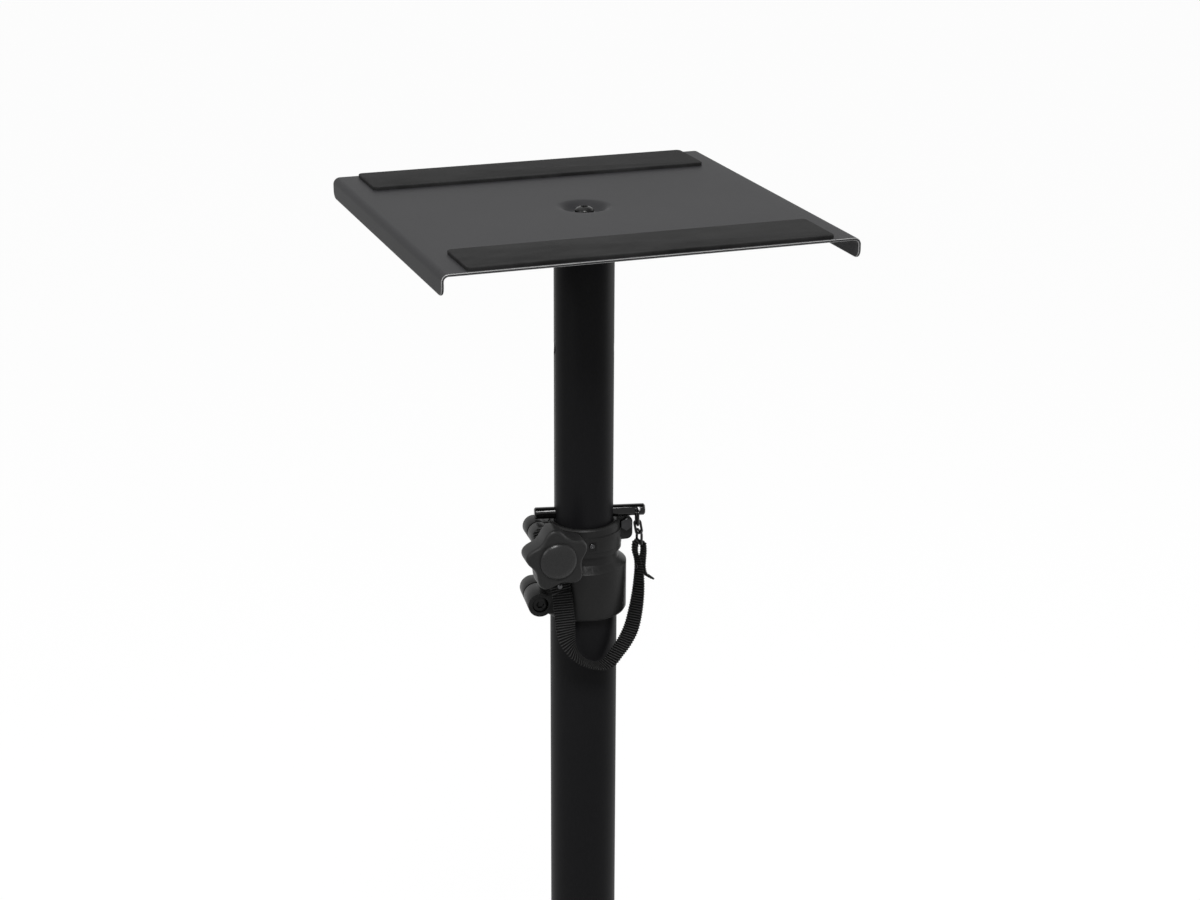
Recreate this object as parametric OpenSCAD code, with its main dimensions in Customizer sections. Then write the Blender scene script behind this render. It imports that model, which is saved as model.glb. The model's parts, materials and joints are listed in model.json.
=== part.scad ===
// Height-adjustable stand for one studio monitor: speaker plate, telescopic column with a clamp
// collar, tethered securing pin, and a three-leg base with levelling feet.
// The floor is z = 0 and the origin is the centre of the footprint. The column stands on the line
// x = 0, y = column_y. The front faces -Y, and left is -X.

/* [Speaker plate] */
// Width of the plate, side to side
plate_w = 235; // [200:5:300]
// Depth of the plate, front to back
plate_d = 230; // [200:5:300]
// Thickness of the plate's sheet
plate_t = 1.5; // [1:0.25:2.5]
// Height of the turned-down side lips
lip_h = 12; // [9:1:20]
// Outer radius of the lips' bend
lip_bend_r = 4; // [3:0.5:6]
// Radius at the lower corners of the lips
lip_corner_r = 5; // [2:0.5:6]
// Diameter of the pressed dish at the plate's face
dish_d = 28; // [24:1:30]
// Diameter of the dish's floor
dish_floor_d = 17; // [15:0.5:20]
// Depth of the dish
dish_depth = 4.5; // [3:0.5:6]

/* [Rubber strips] */
// Length of each strip
strip_l = 206; // [150:2:225]
// Width of each strip, front to back
strip_w = 39; // [20:1:60]
// Thickness of each strip
strip_t = 2; // [1:0.5:5]
// Distance from the plate's edge to the strip
strip_inset = 2; // [1:1:20]
// Radius at the strips' corners
strip_corner_r = 3; // [1:0.5:8]

/* [Column] */
// Height of the securing pin above the floor
pin_z = 770; // [740:10:900]
// Outer diameter of the inner tube
inner_d = 35; // [34:0.5:35.4]
// Length of the inner tube
inner_l = 790; // [740:5:792]
// Outer diameter of the outer tube
outer_d = 40; // [39.6:0.2:42]
// Wall of both tubes
tube_wall = 1.5; // [1.2:0.1:1.7]
// Diameter of the pin holes through the inner tube
pin_hole_d = 8; // [7.5:0.1:10]
// Distance from one pin hole to the next
hole_pitch = 102; // [90:1:102]
// Number of pin holes
hole_count = 7; // [4:1:7]
// Distance from the plate's face down to the first pin hole
first_hole_drop = 83.3; // [76:0.1:100]
// Number of pin holes between the plate and the pinned one
free_hole_count = 1; // [1:1:3]
// Turn of the pin holes from the plate's side-to-side line
pin_turn = -13; // [-20:1:5]

/* [Clamp collar] */
// Diameter of the clamp band's upper rim
rim_d = 43.2; // [42.6:0.2:44]
// Height of the upper rim
rim_h = 5; // [3:0.2:6]
// Outer diameter of the clamp band under its rim
band_d = 45; // [44.2:0.2:46]
// Height of the clamp band under its rim
band_h = 9.4; // [8:0.2:11]
// Diameter of the bead under the band
bead_d = 44.6; // [43:0.2:46]
// Height of the bead
bead_h = 3; // [1.5:0.1:4]
// Diameter of the groove between bead and shoulder
groove_d = 41.6; // [40.6:0.2:43]
// Height of the groove
groove_h = 5.6; // [3:0.2:8]
// Height of the cone that widens to the sleeve
shoulder_h = 3.8; // [3:0.1:10]
// Outer diameter of the sleeve round the outer tube
sleeve_d = 51; // [48.5:0.5:56]
// Height of the sleeve's round wall
sleeve_h = 28.4; // [26:0.2:40]
// Diameter at the sleeve's lower end
sleeve_end_d = 49.4; // [45:0.2:50]
// Height of the bevel at the sleeve's lower end
sleeve_bevel_h = 1.4; // [1:0.2:6]
// Width of the slit between the clamp ears
slit_w = 1.6; // [1:0.1:2]

/* [Clamp ears] */
// Distance from the column's axis to the knob's stud
upper_ear_x = 27.7; // [27.4:0.1:32]
// Radius of the upper ears
upper_ear_r = 6.5; // [5.6:0.1:6.6]
// Distance from the pin down to the knob's stud
upper_ear_drop = 10.7; // [10.3:0.1:11.4]
// Distance from the column's axis to the lower clamp screw
lower_ear_x = 29; // [29:0.5:34]
// Radius of the lower ears
lower_ear_r = 7.4; // [6:0.1:8]
// Distance from the pin down to the lower clamp screw
lower_ear_drop = 51.5; // [47:0.5:52]
// Turn of the lower ears round the column, seen from above
sleeve_turn = -8; // [-15:1:10]
// Turn of the clamp band and the knob round the column, seen from above
band_turn = -4; // [-6:0.5:0]
// Distance from the column's axis to the band bolt on the right
lug_x = 24.4; // [23.6:0.1:24.4]
// Distance from the pin down to the band bolt
lug_drop = 8; // [8:0.1:9.6]
// Distance from the column's axis to the lug's right-hand end
lug_reach = 28.8; // [28:0.1:28.9]
// Radius at the lug's corners
lug_corner_r = 3.5; // [1:0.5:5]

/* [Star knob] */
// Radius of the knob over its lobes
knob_r = 19; // [16:0.5:20]
// Radius of the knob between its lobes
knob_valley_r = 14.6; // [12:0.2:15.4]
// Number of lobes
knob_lobes = 5; // [4:1:8]
// Thickness of the lobed body
knob_t = 14.8; // [12:0.2:20]
// Diameter of the raised centre
knob_dome_d = 22; // [18:0.5:24]
// Height of the raised centre
knob_dome_h = 3.2; // [1:0.2:5]
// Diameter of the knob's hub
knob_hub_d = 14; // [12:0.5:18]
// Length of the knob's hub
knob_hub_h = 12.4; // [8:0.2:14]
// Diameter of the knob's stud
stud_d = 6; // [5:0.5:6]

/* [Securing pin and tether] */
// Diameter of the securing pin
pin_d = 7; // [6:0.1:7.2]
// Length of the securing pin
pin_l = 66; // [62:1:72]
// Distance from the pin's left end to the column's axis
pin_left = 29.5; // [26:0.5:30]
// Diameter of the cross hole for the chain
cross_hole_d = 3.6; // [3.2:0.1:3.8]
// Distance from the pin's right end to the cross hole
cross_hole_inset = 4.5; // [3:0.5:5]
// Diameter of the chain's wire
link_wire_d = 1.3; // [1:0.1:1.4]
// Thickness of the webbing
strap_t = 1.3; // [1:0.1:1.6]
// Width of the webbing
strap_w = 12; // [10:0.5:13]

/* [Base] */
// Distance from the column's axis to the end of each leg
leg_reach = 265; // [220:5:330]
// Width of the leg's tube
leg_w = 50; // [46:1:60]
// Height of the leg's tube
leg_h = 25; // [24:1:40]
// Wall of the leg's tube
leg_wall = 1.5; // [1.2:0.1:2.5]
// Distance from the column's axis to the start of each leg
leg_start = 32; // [31:1:40]
// Thickness of the hub plate
hub_t = 4; // [3:0.5:8]
// Reach of the hub plate's lobes
hub_reach = 98; // [92:1:130]
// Height of the column's socket
socket_h = 60; // [40:2:100]
// Wall of the column's socket
socket_wall = 3; // [2:0.5:5]
// Distance from the leg's end to the middle of its foot
foot_inset = 29; // [26:1:50]
// Diameter of the foot pads
pad_d = 38; // [30:1:44]
// Height of the foot pads
pad_h = 11; // [9:1:16]

/* [Hidden] */

// Clearances
overrun = 1;
seat_gap = 0.3;
press_gap = 0.05;
thread_gap = 0.05;
slide_gap = 0.3;
bolt_gap = 0.3;

// Finish of round shapes and of outlines
round_steps = 64;
corner_steps = 6;
outline_steps = 48;

// Levels of the collar, from the pin downwards
rim_top_z = pin_z - pin_d / 2 - seat_gap;
band_top_z = rim_top_z - rim_h;
bead_top_z = band_top_z - band_h;
groove_top_z = bead_top_z - bead_h;
shoulder_top_z = groove_top_z - groove_h;
sleeve_top_z = shoulder_top_z - shoulder_h;
bevel_top_z = sleeve_top_z - sleeve_h;
sleeve_end_z = bevel_top_z - sleeve_bevel_h;
upper_ear_z = pin_z - upper_ear_drop;
lug_z = pin_z - lug_drop;
lower_ear_z = pin_z - lower_ear_drop;
neck_bore_d = inner_d + 2 * slide_gap;
neck_d = 40;
sleeve_bore_d = outer_d + 2 * seat_gap;
rim_edge_drop = 1;
neck_sink = 0.6;
neck_slit_w = 1.8;
neck_slit_angles = [240, 0, 120];

// Front-to-back places of the clamp ears
slit_y = 1.5;
ear_near = 14;
ear_far = 13;
lower_ear_near = 15.5;
lower_ear_far = 14;
lug_near = 5;
lug_far = 12;
ear_web_share = 0.8;
stud_hole_d = stud_d + 2 * bolt_gap;
clamp_screw_d = 5;
clamp_head_d = 9;
clamp_head_h = 3.2;
clamp_head_sink = 4;
clamp_nut_af = 8;
clamp_nut_h = 4;
knob_nut_af = 10;
knob_nut_h = 5;
nut_recess = 0.8;
band_bolt_d = 4;
band_head_af = 7;
band_head_h = 2.8;
band_nut_h = 3.2;
head_turn = 30;
set_screw_d = 3;
set_screw_angle = 268;
set_screw_drop = 5.2;
set_screw_recess = 0.6;
pocket_w = 4.6;
pocket_h = 5.6;
pocket_depth = 1;

// The tab of doubled webbing on the stud, the washer and the knob, one in front of the other
tab_t = 2 * strap_t;
tab_near = ear_near + seat_gap + tab_t;
tab_middle = ear_near + seat_gap + strap_t;
washer_t = 1.5;
washer_d = 12;
washer_near = tab_near + seat_gap + washer_t;
hub_far = washer_near + seat_gap / 2;
star_far = hub_far + knob_hub_h;
star_near = star_far + knob_t;
stud_in_knob = 18;
stud_end = ear_far - nut_recess;
knob_edge_r = 1.6;
knob_turned = 26;
lobe_power = 1.15;
edge_shares = [[0, 1], [0.12, 0.52], [0.42, 0.15], [1, 0]];
dome_angle = 80;
dome_steps = 4;

// Column
column_bore_d = outer_d - 2 * tube_wall;
guide_flange_t = 1.5;
guide_l = 60;
column_top_z = sleeve_top_z - guide_flange_t - seat_gap;
plate_top_z = pin_z + first_hole_drop + hole_pitch * free_hole_count;
plate_under_z = plate_top_z - plate_t;
inner_end_z = plate_under_z - inner_l;
inner_bore_d = inner_d - 2 * tube_wall;
bush_flange_h = 6;
bush_spigot_l = 20;
bush_bore_d = 20;
plug_h = 10;
base_bolt_d = 10;
top_plug_h = 18;
plate_bolt_d = 6;
plate_bolt_l = 22;
plate_head_d = 11;
plate_head_h = 3.4;
head_arc_angle = 70;
head_rim_share = 0.15;
head_flat_share = 0.3;
plate_washer_d = 12.5;
plate_washer_t = 1.2;
hex_key_af = 4;
hex_key_depth = 2;

// Base
hex_h = 4;
leg_z = pad_h + hex_h + seat_gap;
leg_top_z = leg_z + leg_h;
hub_top_z = leg_top_z + hub_t;
leg_corner_r = 4;
hub_lobe_w = leg_w + 4;
hub_core_r = 42;
hub_corner_r = 10;
hub_blend_r = 18;
weld_bead = 4;
leg_bolt_d = 6;
inner_leg_bolt_r = 56;
outer_leg_bolt_r = 84;
leg_bolt_places = [inner_leg_bolt_r, outer_leg_bolt_r];
leg_bolt_flange_d = 13;
leg_bolt_flange_h = 1;
leg_bolt_af = 10;
leg_bolt_head_h = 5;
leg_nut_h = 5;
cap_t = 3;
cap_plug_l = 14;
cap_plug_wall = 2;
cap_edge_r = 1.2;
base_washer_d = 22;
base_washer_t = 2;
base_head_af = 16;
base_head_h = 6.4;
base_bolt_in_plug = 9;
leg_angles = [90, 210, 330];
front_reach = leg_reach * sin(30) + leg_w / 2 * cos(30);
column_y = -(leg_reach - front_reach) / 2;
foot_r = leg_reach - foot_inset;

// Levelling feet
spindle_d = 8;
foot_nut_h = 6.5;
foot_hex_af = 13;
spindle_up = 20;
spindle_pin_l = 5;
spindle_pin_d = 8;
pad_bore_gap = 0.06;
pad_top_d = 20;
pad_rim_h = 4;

// Securing pin
pin_right = pin_l - pin_left;
pin_chamfer = 0.8;
cross_hole_x = pin_right - cross_hole_inset;
cross_hole_tilt = 12;

// Chain: inner widths and the levels of the wires' centres, from the pin downwards
link_play = 0.25;
upper_link_w = pin_d + 2 * link_play;
upper_link_h = 8.9;
link_w = 1.9;
lower_link_w = 6.4;
link_h = 8;
link_corner_r = 1.7;
link_lean = 10;
link_sides = 8;
upper_link_z = pin_z;
middle_link_z = upper_link_z - upper_link_h + link_wire_d + link_play;
lower_link_z = middle_link_z - link_h * cos(link_lean) + link_wire_d + link_play;
strap_hang_z = lower_link_z - link_h + link_wire_d / 2 + strap_t / 2 + link_play;
link_x = cross_hole_x * cos(pin_turn);
link_y = cross_hole_x * sin(pin_turn);
lower_link_x = link_x + link_h * sin(link_lean) * cos(pin_turn);
lower_link_y = link_y + link_h * sin(link_lean) * sin(pin_turn);

// The tab of webbing on the stud: shift along and up from the stud, turn against the ear, and width
tab_points = [[-2.1, 9.3, 0, 5], [-1.8, 8.1, 0, 9.6], [-1.4, 6.5, 0, 12], [0.2, 0.4, 0, 12], [2, -6.5, -2, 12]];

// Route of the webbing from its tab, round under the column to the chain: x, y and z from
// the column's axis and the pin's level, the turn of its width from the X axis, its width and layers.
strap_points = [
    [-24.5, -16, -25, -12, 12, 2],
    [-22.7, -19, -32.5, -20, 12, 2], [-21.3, -21, -39.8, -20, 12, 2], [-21.1, -21.3, -40.8, -20, 12, 1],
    [-20.7, -22.1, -46, -20, 12, 1], [-20.4, -23, -52, -18, 12, 1], [-20.1, -24, -58, -12, 12, 1],
    [-19.9, -25, -64, 0, 12, 1], [-19, -26.2, -70, 20, 12, 1], [-16.6, -27.4, -76, 44, 12, 1],
    [-12, -28, -82, 66, 12, 1], [-5.5, -28, -86.5, 82, 12, 1], [1.5, -27.6, -88.6, 94, 12, 1],
    [7.2, -26.8, -87.2, 102, 12, 1], [12.4, -25, -82.6, 108, 12, 1], [18.2, -22.6, -77.2, 112, 12, 1],
    [23.4, -19.6, -70.4, 114, 12, 1], [27.1, -16.4, -61.6, 113, 11.6, 1], [29.7, -13.6, -52.4, 110, 11, 1],
    [31.2, -11.2, -44, 104, 10, 1], [31.7, -9.6, -37.2, 98, 8.2, 1], [31.2, -8.6, -31.8, 94, 6.2, 1],
    [29.9, -7.8, -26.8, 92, 4.8, 1]
];
// The fold over the chain's last link, and the tail that hangs out beside it
fold_r = 2.6;
fold_steps = 8;
tail_points = [
    [35.3, -7.7, -26.8, 92, 4.8, 1], [34.6, -8.2, -31.4, 94, 5.8, 1], [34, -8.7, -35.6, 96, 7, 1],
    [34.3, -9, -39.2, 97, 8.4, 1], [36.4, -9.2, -42.2, 98, 9, 1], [40.3, -9.2, -44.2, 98, 9, 1]
];
strap_section_shares = [
    [-0.5, -0.25], [-0.46, -0.5], [0.46, -0.5], [0.5, -0.25],
    [0.5, 0.25], [0.46, 0.5], [-0.46, 0.5], [-0.5, 0.25]
];
rivet_d = 2.2;
rivet_head_d = 3.2;
rivet_head_h = 0.7;
rivet_head_top_share = 0.55;
rivet_grip_left = 2 * strap_t + 0.6;
rivet_left_point = [-21.8, -20.3, -37];
rivet_left_lean = 15;
rivet_left_turn = -20;
rivet_grip_right = 4.6;
rivet_right_turn = 7;
rivet_right_point = [32.9, -9, -36];

// Points of an arc, from one angle to another
function arc_points(cx, cy, r, a0, a1, steps = corner_steps) =
    [for (i = [0:steps]) [cx + r * cos(a0 + (a1 - a0) * i / steps), cy + r * sin(a0 + (a1 - a0) * i / steps)]];

// A rectangle centred on the origin with round corners
function rounded_box(w, h, r) = concat(
    arc_points(w / 2 - r, h / 2 - r, r, 0, 90), arc_points(-w / 2 + r, h / 2 - r, r, 90, 180),
    arc_points(-w / 2 + r, -h / 2 + r, r, 180, 270), arc_points(w / 2 - r, -h / 2 + r, r, 270, 360));

// Corner-to-corner diameter of a hexagon from its width across flats
function across_corners(af) = af / cos(30);

// Faces that join rings of equal count into a closed skin, or into a closed hoop
function ring_faces(rings, sides, hoop = false) = concat(
    [for (i = [0:rings - (hoop ? 1 : 2)], j = [0:sides - 1])
        let (k = (i + 1) % rings, m = (j + 1) % sides)
        each [[i * sides + j, k * sides + m, i * sides + m], [i * sides + j, k * sides + j, k * sides + m]]],
    hoop ? [] : [[for (j = [0:sides - 1]) j], [for (j = [sides - 1:-1:0]) (rings - 1) * sides + j]]);

function unit(v) = v / norm(v);

module on_column() {
    translate([0, column_y, 0])
        children();
}

// The line of the sleeve's clamp, turned round the column
module on_sleeve_line() {
    on_column()
        rotate([0, 0, sleeve_turn])
            children();
}

// The line of the clamp band and the knob, turned round the column
module on_band_line() {
    on_column()
        rotate([0, 0, band_turn])
            children();
}

module at_leg(angle) {
    on_column()
        rotate([0, 0, angle])
            children();
}

// A cylinder that points to the front: from near_y in front of the column back to far_y behind it
module fore_aft(x, z, d, near_y, far_y, fn = round_steps, turn = 0) {
    translate([x, far_y, z])
        rotate([90, turn, 0])
            cylinder(d = d, h = near_y + far_y, $fn = fn);
}

module ring(outer, inner, h) {
    difference() {
        cylinder(d = outer, h = h, $fn = round_steps);
        translate([0, 0, -overrun])
            cylinder(d = inner, h = h + 2 * overrun, $fn = round_steps);
    }
}

// Speaker plate: a sheet with its sides turned down, its lower corners rounded and a dish pressed in
module plate_section() {
    inner_r = lip_bend_r - plate_t;
    polygon(concat(
        [[-plate_w / 2, -lip_h]],
        arc_points(-plate_w / 2 + lip_bend_r, -lip_bend_r, lip_bend_r, 180, 90),
        arc_points(plate_w / 2 - lip_bend_r, -lip_bend_r, lip_bend_r, 90, 0),
        [[plate_w / 2, -lip_h], [plate_w / 2 - plate_t, -lip_h]],
        arc_points(plate_w / 2 - lip_bend_r, -lip_bend_r, inner_r, 0, 90),
        arc_points(-plate_w / 2 + lip_bend_r, -lip_bend_r, inner_r, 90, 180),
        [[-plate_w / 2 + plate_t, -lip_h]]));
}

module lip_side_outline() {
    r = min(lip_corner_r, lip_h - lip_bend_r);
    polygon(concat(
        [[-plate_d / 2, overrun]],
        arc_points(-plate_d / 2 + r, -lip_h + r, r, 180, 270),
        arc_points(plate_d / 2 - r, -lip_h + r, r, 270, 360),
        [[plate_d / 2, overrun]]));
}

module dish_section() {
    floor_r = dish_floor_d / 2;
    mouth_r = dish_d / 2;
    brim_r = mouth_r + plate_t;
    hole_r = plate_bolt_d / 2 + bolt_gap;
    slope = atan2(dish_depth, mouth_r - floor_r);
    lean = plate_t * tan(slope / 2);
    polygon([
        [hole_r, -dish_depth], [floor_r, -dish_depth], [mouth_r, 0], [brim_r, 0],
        [brim_r, -plate_t], [mouth_r + lean, -plate_t], [floor_r + lean, -dish_depth - plate_t],
        [hole_r, -dish_depth - plate_t]]);
}

module top_plate() {
    color([0.13, 0.13, 0.14])
        on_column()
            translate([0, 0, plate_top_z]) {
                difference() {
                    intersection() {
                        translate([0, plate_d / 2, 0])
                            rotate([90, 0, 0])
                                linear_extrude(plate_d)
                                    plate_section();
                        translate([-plate_w / 2 - overrun, 0, 0])
                            rotate([90, 0, 90])
                                linear_extrude(plate_w + 2 * overrun)
                                    lip_side_outline();
                    }
                    translate([0, 0, -plate_t - overrun])
                        cylinder(d = dish_d + plate_t, h = plate_t + 2 * overrun, $fn = round_steps);
                }
                rotate_extrude($fn = round_steps)
                    dish_section();
            }
}

module rubber_strip(side) {
    color([0.08, 0.08, 0.08])
        on_column()
            translate([0, side * (plate_d / 2 - strip_inset - strip_w / 2), plate_top_z])
                linear_extrude(strip_t)
                    polygon(rounded_box(strip_l, strip_w, strip_corner_r));
}

module rubber_strip_front() {
    rubber_strip(-1);
}

module rubber_strip_rear() {
    rubber_strip(1);
}

module plate_washer() {
    color([0.3, 0.3, 0.32])
        on_column()
            translate([0, 0, plate_top_z - dish_depth])
                ring(plate_washer_d, plate_bolt_d + 2 * bolt_gap, plate_washer_t);
}

module plate_bolt() {
    head_z = plate_top_z - dish_depth + plate_washer_t;
    color([0.3, 0.3, 0.32])
        on_column()
            difference() {
                union() {
                    translate([0, 0, head_z])
                        rotate_extrude($fn = round_steps)
                            polygon(concat(
                                [[0, 0], [plate_head_d / 2, 0]],
                                [for (p = arc_points(0, 0, 1, 0, head_arc_angle))
                                    [plate_head_d / 2 * p[0], plate_head_h * (p[1] * (1 - head_rim_share) + head_rim_share)]],
                                [[plate_head_d / 2 * head_flat_share, plate_head_h], [0, plate_head_h]]));
                    translate([0, 0, head_z - plate_bolt_l])
                        cylinder(d = plate_bolt_d, h = plate_bolt_l + hex_key_depth / 2, $fn = round_steps);
                }
                translate([0, 0, head_z + plate_head_h - hex_key_depth])
                    cylinder(d = across_corners(hex_key_af), h = hex_key_depth + overrun, $fn = 6);
            }
}

// Steel plug in the inner tube's top, which takes the plate's bolt
module tube_top_plug() {
    color([0.35, 0.35, 0.36])
        on_column()
            translate([0, 0, plate_under_z - dish_depth - top_plug_h])
                ring(inner_bore_d - 2 * press_gap, plate_bolt_d + 2 * thread_gap, top_plug_h);
}

module inner_tube() {
    color([0.07, 0.07, 0.07])
        on_column()
            difference() {
                translate([0, 0, inner_end_z])
                    ring(inner_d, inner_bore_d, inner_l);
                for (i = [0:hole_count - 1])
                    translate([0, 0, plate_top_z - first_hole_drop - i * hole_pitch])
                        rotate([0, 90, pin_turn])
                            cylinder(d = pin_hole_d, h = inner_d + 2 * overrun, center = true, $fn = round_steps);
            }
}

// Plastic bush in the inner tube's lower end, which keeps it central in the outer tube
module inner_tube_bush() {
    flange_d = column_bore_d - 2 * slide_gap;
    spigot_d = inner_bore_d - 2 * press_gap;
    color([0.12, 0.12, 0.12])
        on_column()
            translate([0, 0, inner_end_z])
                rotate_extrude($fn = round_steps)
                    polygon([
                        [bush_bore_d / 2, -bush_flange_h], [flange_d / 2 - cap_edge_r, -bush_flange_h],
                        [flange_d / 2, -bush_flange_h + cap_edge_r], [flange_d / 2, 0], [spigot_d / 2, 0],
                        [spigot_d / 2, bush_spigot_l], [bush_bore_d / 2, bush_spigot_l]]);
}

module outer_tube() {
    color([0.07, 0.07, 0.07])
        on_column()
            translate([0, 0, hub_top_z])
                ring(outer_d, column_bore_d, column_top_z - hub_top_z);
}

// Thin plastic sleeve that guides the inner tube in the outer tube's mouth
module guide_sleeve() {
    body_d = column_bore_d - 2 * press_gap;
    color([0.12, 0.12, 0.12])
        on_column()
            translate([0, 0, column_top_z])
                rotate_extrude($fn = round_steps)
                    polygon([
                        [neck_bore_d / 2, -guide_l], [body_d / 2, -guide_l], [body_d / 2, 0],
                        [outer_d / 2, 0], [outer_d / 2, guide_flange_t], [neck_bore_d / 2, guide_flange_t]]);
}

// Steel plug in the outer tube's foot, which takes the base bolt
module column_plug() {
    color([0.35, 0.35, 0.36])
        on_column()
            translate([0, 0, hub_top_z])
                ring(column_bore_d - 2 * press_gap, base_bolt_d + 2 * thread_gap, plug_h);
}

// Moulded collar: a slotted neck round the inner tube over a split sleeve round the outer tube
module collar_section() {
    polygon([
        [neck_bore_d / 2, rim_top_z - neck_sink], [neck_d / 2, rim_top_z - neck_sink],
        [neck_d / 2, bead_top_z], [bead_d / 2, bead_top_z], [bead_d / 2, groove_top_z],
        [groove_d / 2, groove_top_z], [groove_d / 2, shoulder_top_z], [sleeve_d / 2, sleeve_top_z],
        [sleeve_d / 2, bevel_top_z], [sleeve_end_d / 2, sleeve_end_z],
        [sleeve_bore_d / 2, sleeve_end_z], [sleeve_bore_d / 2, sleeve_top_z],
        [neck_bore_d / 2, sleeve_top_z]]);
}

// One pair of ears along a fore-and-aft line, joined to the collar by a web
module ears(x, z, r, near_y, far_y) {
    fore_aft(x, z, 2 * r, near_y, far_y);
    translate([min(x, 0), -near_y, z - r * ear_web_share])
        cube([abs(x), near_y + far_y, 2 * r * ear_web_share]);
}

module collar_sleeve() {
    color([0.16, 0.16, 0.16])
        on_sleeve_line()
            difference() {
                union() {
                    rotate_extrude($fn = round_steps)
                        collar_section();
                    difference() {
                        ears(-lower_ear_x, lower_ear_z, lower_ear_r, lower_ear_near, lower_ear_far);
                        translate([0, 0, sleeve_end_z - overrun])
                            cylinder(d = sleeve_bore_d, h = sleeve_h + 2 * sleeve_bevel_h, $fn = round_steps);
                    }
                }
                translate([-lower_ear_x - lower_ear_r - overrun, slit_y - slit_w / 2, sleeve_end_z - overrun])
                    cube([lower_ear_x + lower_ear_r, slit_w, sleeve_h + sleeve_bevel_h + overrun - slit_w]);
                for (a = neck_slit_angles)
                    rotate([0, 0, a])
                        translate([0, -neck_slit_w / 2, groove_top_z])
                            cube([rim_d, neck_slit_w, rim_top_z - groove_top_z + overrun]);
                fore_aft(-lower_ear_x, lower_ear_z, clamp_screw_d + 2 * bolt_gap,
                    lower_ear_near + overrun, lower_ear_far + overrun);
                fore_aft(-lower_ear_x, lower_ear_z, clamp_head_d + 2 * bolt_gap,
                    lower_ear_near + overrun, clamp_head_sink - lower_ear_near);
                fore_aft(-lower_ear_x, lower_ear_z, across_corners(clamp_nut_af + bolt_gap),
                    clamp_nut_h + nut_recess - lower_ear_far, lower_ear_far + overrun, 6);
            }
}

// The clamp band's section: the band, and a narrower rim over it
module band_section() {
    polygon([
        [neck_d / 2 + press_gap, bead_top_z], [band_d / 2, bead_top_z], [band_d / 2, band_top_z],
        [rim_d / 2, band_top_z], [rim_d / 2, rim_top_z - rim_edge_drop],
        [rim_d / 2 - rim_edge_drop, rim_top_z], [neck_d / 2 + press_gap, rim_top_z]]);
}

// The lug's outline: its right-hand corners are round
module lug_outline() {
    polygon(concat(
        [[0, rim_top_z], [0, bead_top_z]],
        arc_points(lug_reach - lug_corner_r, bead_top_z + lug_corner_r, lug_corner_r, 270, 360),
        arc_points(lug_reach - lug_corner_r, rim_top_z - lug_corner_r, lug_corner_r, 0, 90)));
}

// Half of the clamp band round the neck, with an ear on the left and a lug on the right
module band_half(near_side) {
    cut_y = near_side ? slit_y - slit_w / 2 : slit_y + slit_w / 2;
    reach = upper_ear_x + upper_ear_r + overrun;
    height = rim_top_z - bead_top_z;
    difference() {
        union() {
            rotate_extrude($fn = round_steps)
                band_section();
            difference() {
                union() {
                    ears(-upper_ear_x, upper_ear_z, upper_ear_r, ear_near, ear_far);
                    translate([0, lug_far, 0])
                        rotate([90, 0, 0])
                            linear_extrude(lug_near + lug_far)
                                lug_outline();
                }
                translate([0, 0, bead_top_z - height])
                    cylinder(d = neck_d + 2 * press_gap, h = 3 * height, $fn = round_steps);
            }
        }
        translate([-reach, near_side ? cut_y : cut_y - 2 * reach, bead_top_z - height])
            cube([2 * reach, 2 * reach, 3 * height]);
        fore_aft(-upper_ear_x, upper_ear_z, stud_hole_d, ear_near + overrun, ear_far + overrun);
        fore_aft(lug_x, lug_z, band_bolt_d + 2 * bolt_gap, lug_near + overrun, lug_far + overrun);
        if (!near_side)
            fore_aft(-upper_ear_x, upper_ear_z, across_corners(knob_nut_af + bolt_gap),
                knob_nut_h + nut_recess - ear_far, ear_far + overrun, 6);
        if (near_side)
            fore_aft(lug_x, lug_z, across_corners(band_head_af) + 2 * bolt_gap, band_d / 2, -lug_near);
        if (near_side)
            at_set_screw() {
                cylinder(d = set_screw_d + 2 * bolt_gap, h = band_d, $fn = round_steps);
                translate([-pocket_h / 2, -pocket_w / 2, band_d / 2 - pocket_depth])
                    cube([pocket_h, pocket_w, pocket_depth + overrun]);
            }
    }
}

// The line of the set screw, out through the front of the band
module at_set_screw() {
    translate([0, 0, band_top_z - set_screw_drop])
        rotate([0, 90, set_screw_angle])
            children();
}

module clamp_band_front() {
    color([0.15, 0.15, 0.15])
        on_band_line()
            band_half(true);
}

module clamp_band_rear() {
    color([0.15, 0.15, 0.15])
        on_band_line()
            band_half(false);
}

module band_set_screw() {
    color([0.6, 0.6, 0.62])
        on_band_line()
            at_set_screw()
                translate([0, 0, neck_d / 2 + press_gap])
                    difference() {
                        cylinder(d = set_screw_d, h = (band_d - neck_d) / 2 - set_screw_recess, $fn = round_steps);
                        translate([0, 0, (band_d - neck_d) / 4])
                            cylinder(d = set_screw_d / 2, h = band_d, $fn = 6);
                    }
}

// Hexagon bolt through the lug, its head in front with a corner up
module band_bolt() {
    color([0.45, 0.45, 0.47])
        on_band_line() {
            fore_aft(lug_x, lug_z, across_corners(band_head_af), lug_near + band_head_h, -lug_near, 6, head_turn);
            fore_aft(lug_x, lug_z, band_bolt_d, lug_near + band_head_h / 2, lug_far + band_nut_h + seat_gap);
        }
}

module fore_aft_nut(x, z, d, af, h, face_y) {
    difference() {
        fore_aft(x, z, across_corners(af), -face_y, face_y + h, 6);
        fore_aft(x, z, d + 2 * thread_gap, overrun - face_y, face_y + h + overrun);
    }
}

module band_nut() {
    color([0.45, 0.45, 0.47])
        on_band_line()
            fore_aft_nut(lug_x, lug_z, band_bolt_d, band_head_af, band_nut_h, lug_far);
}

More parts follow.
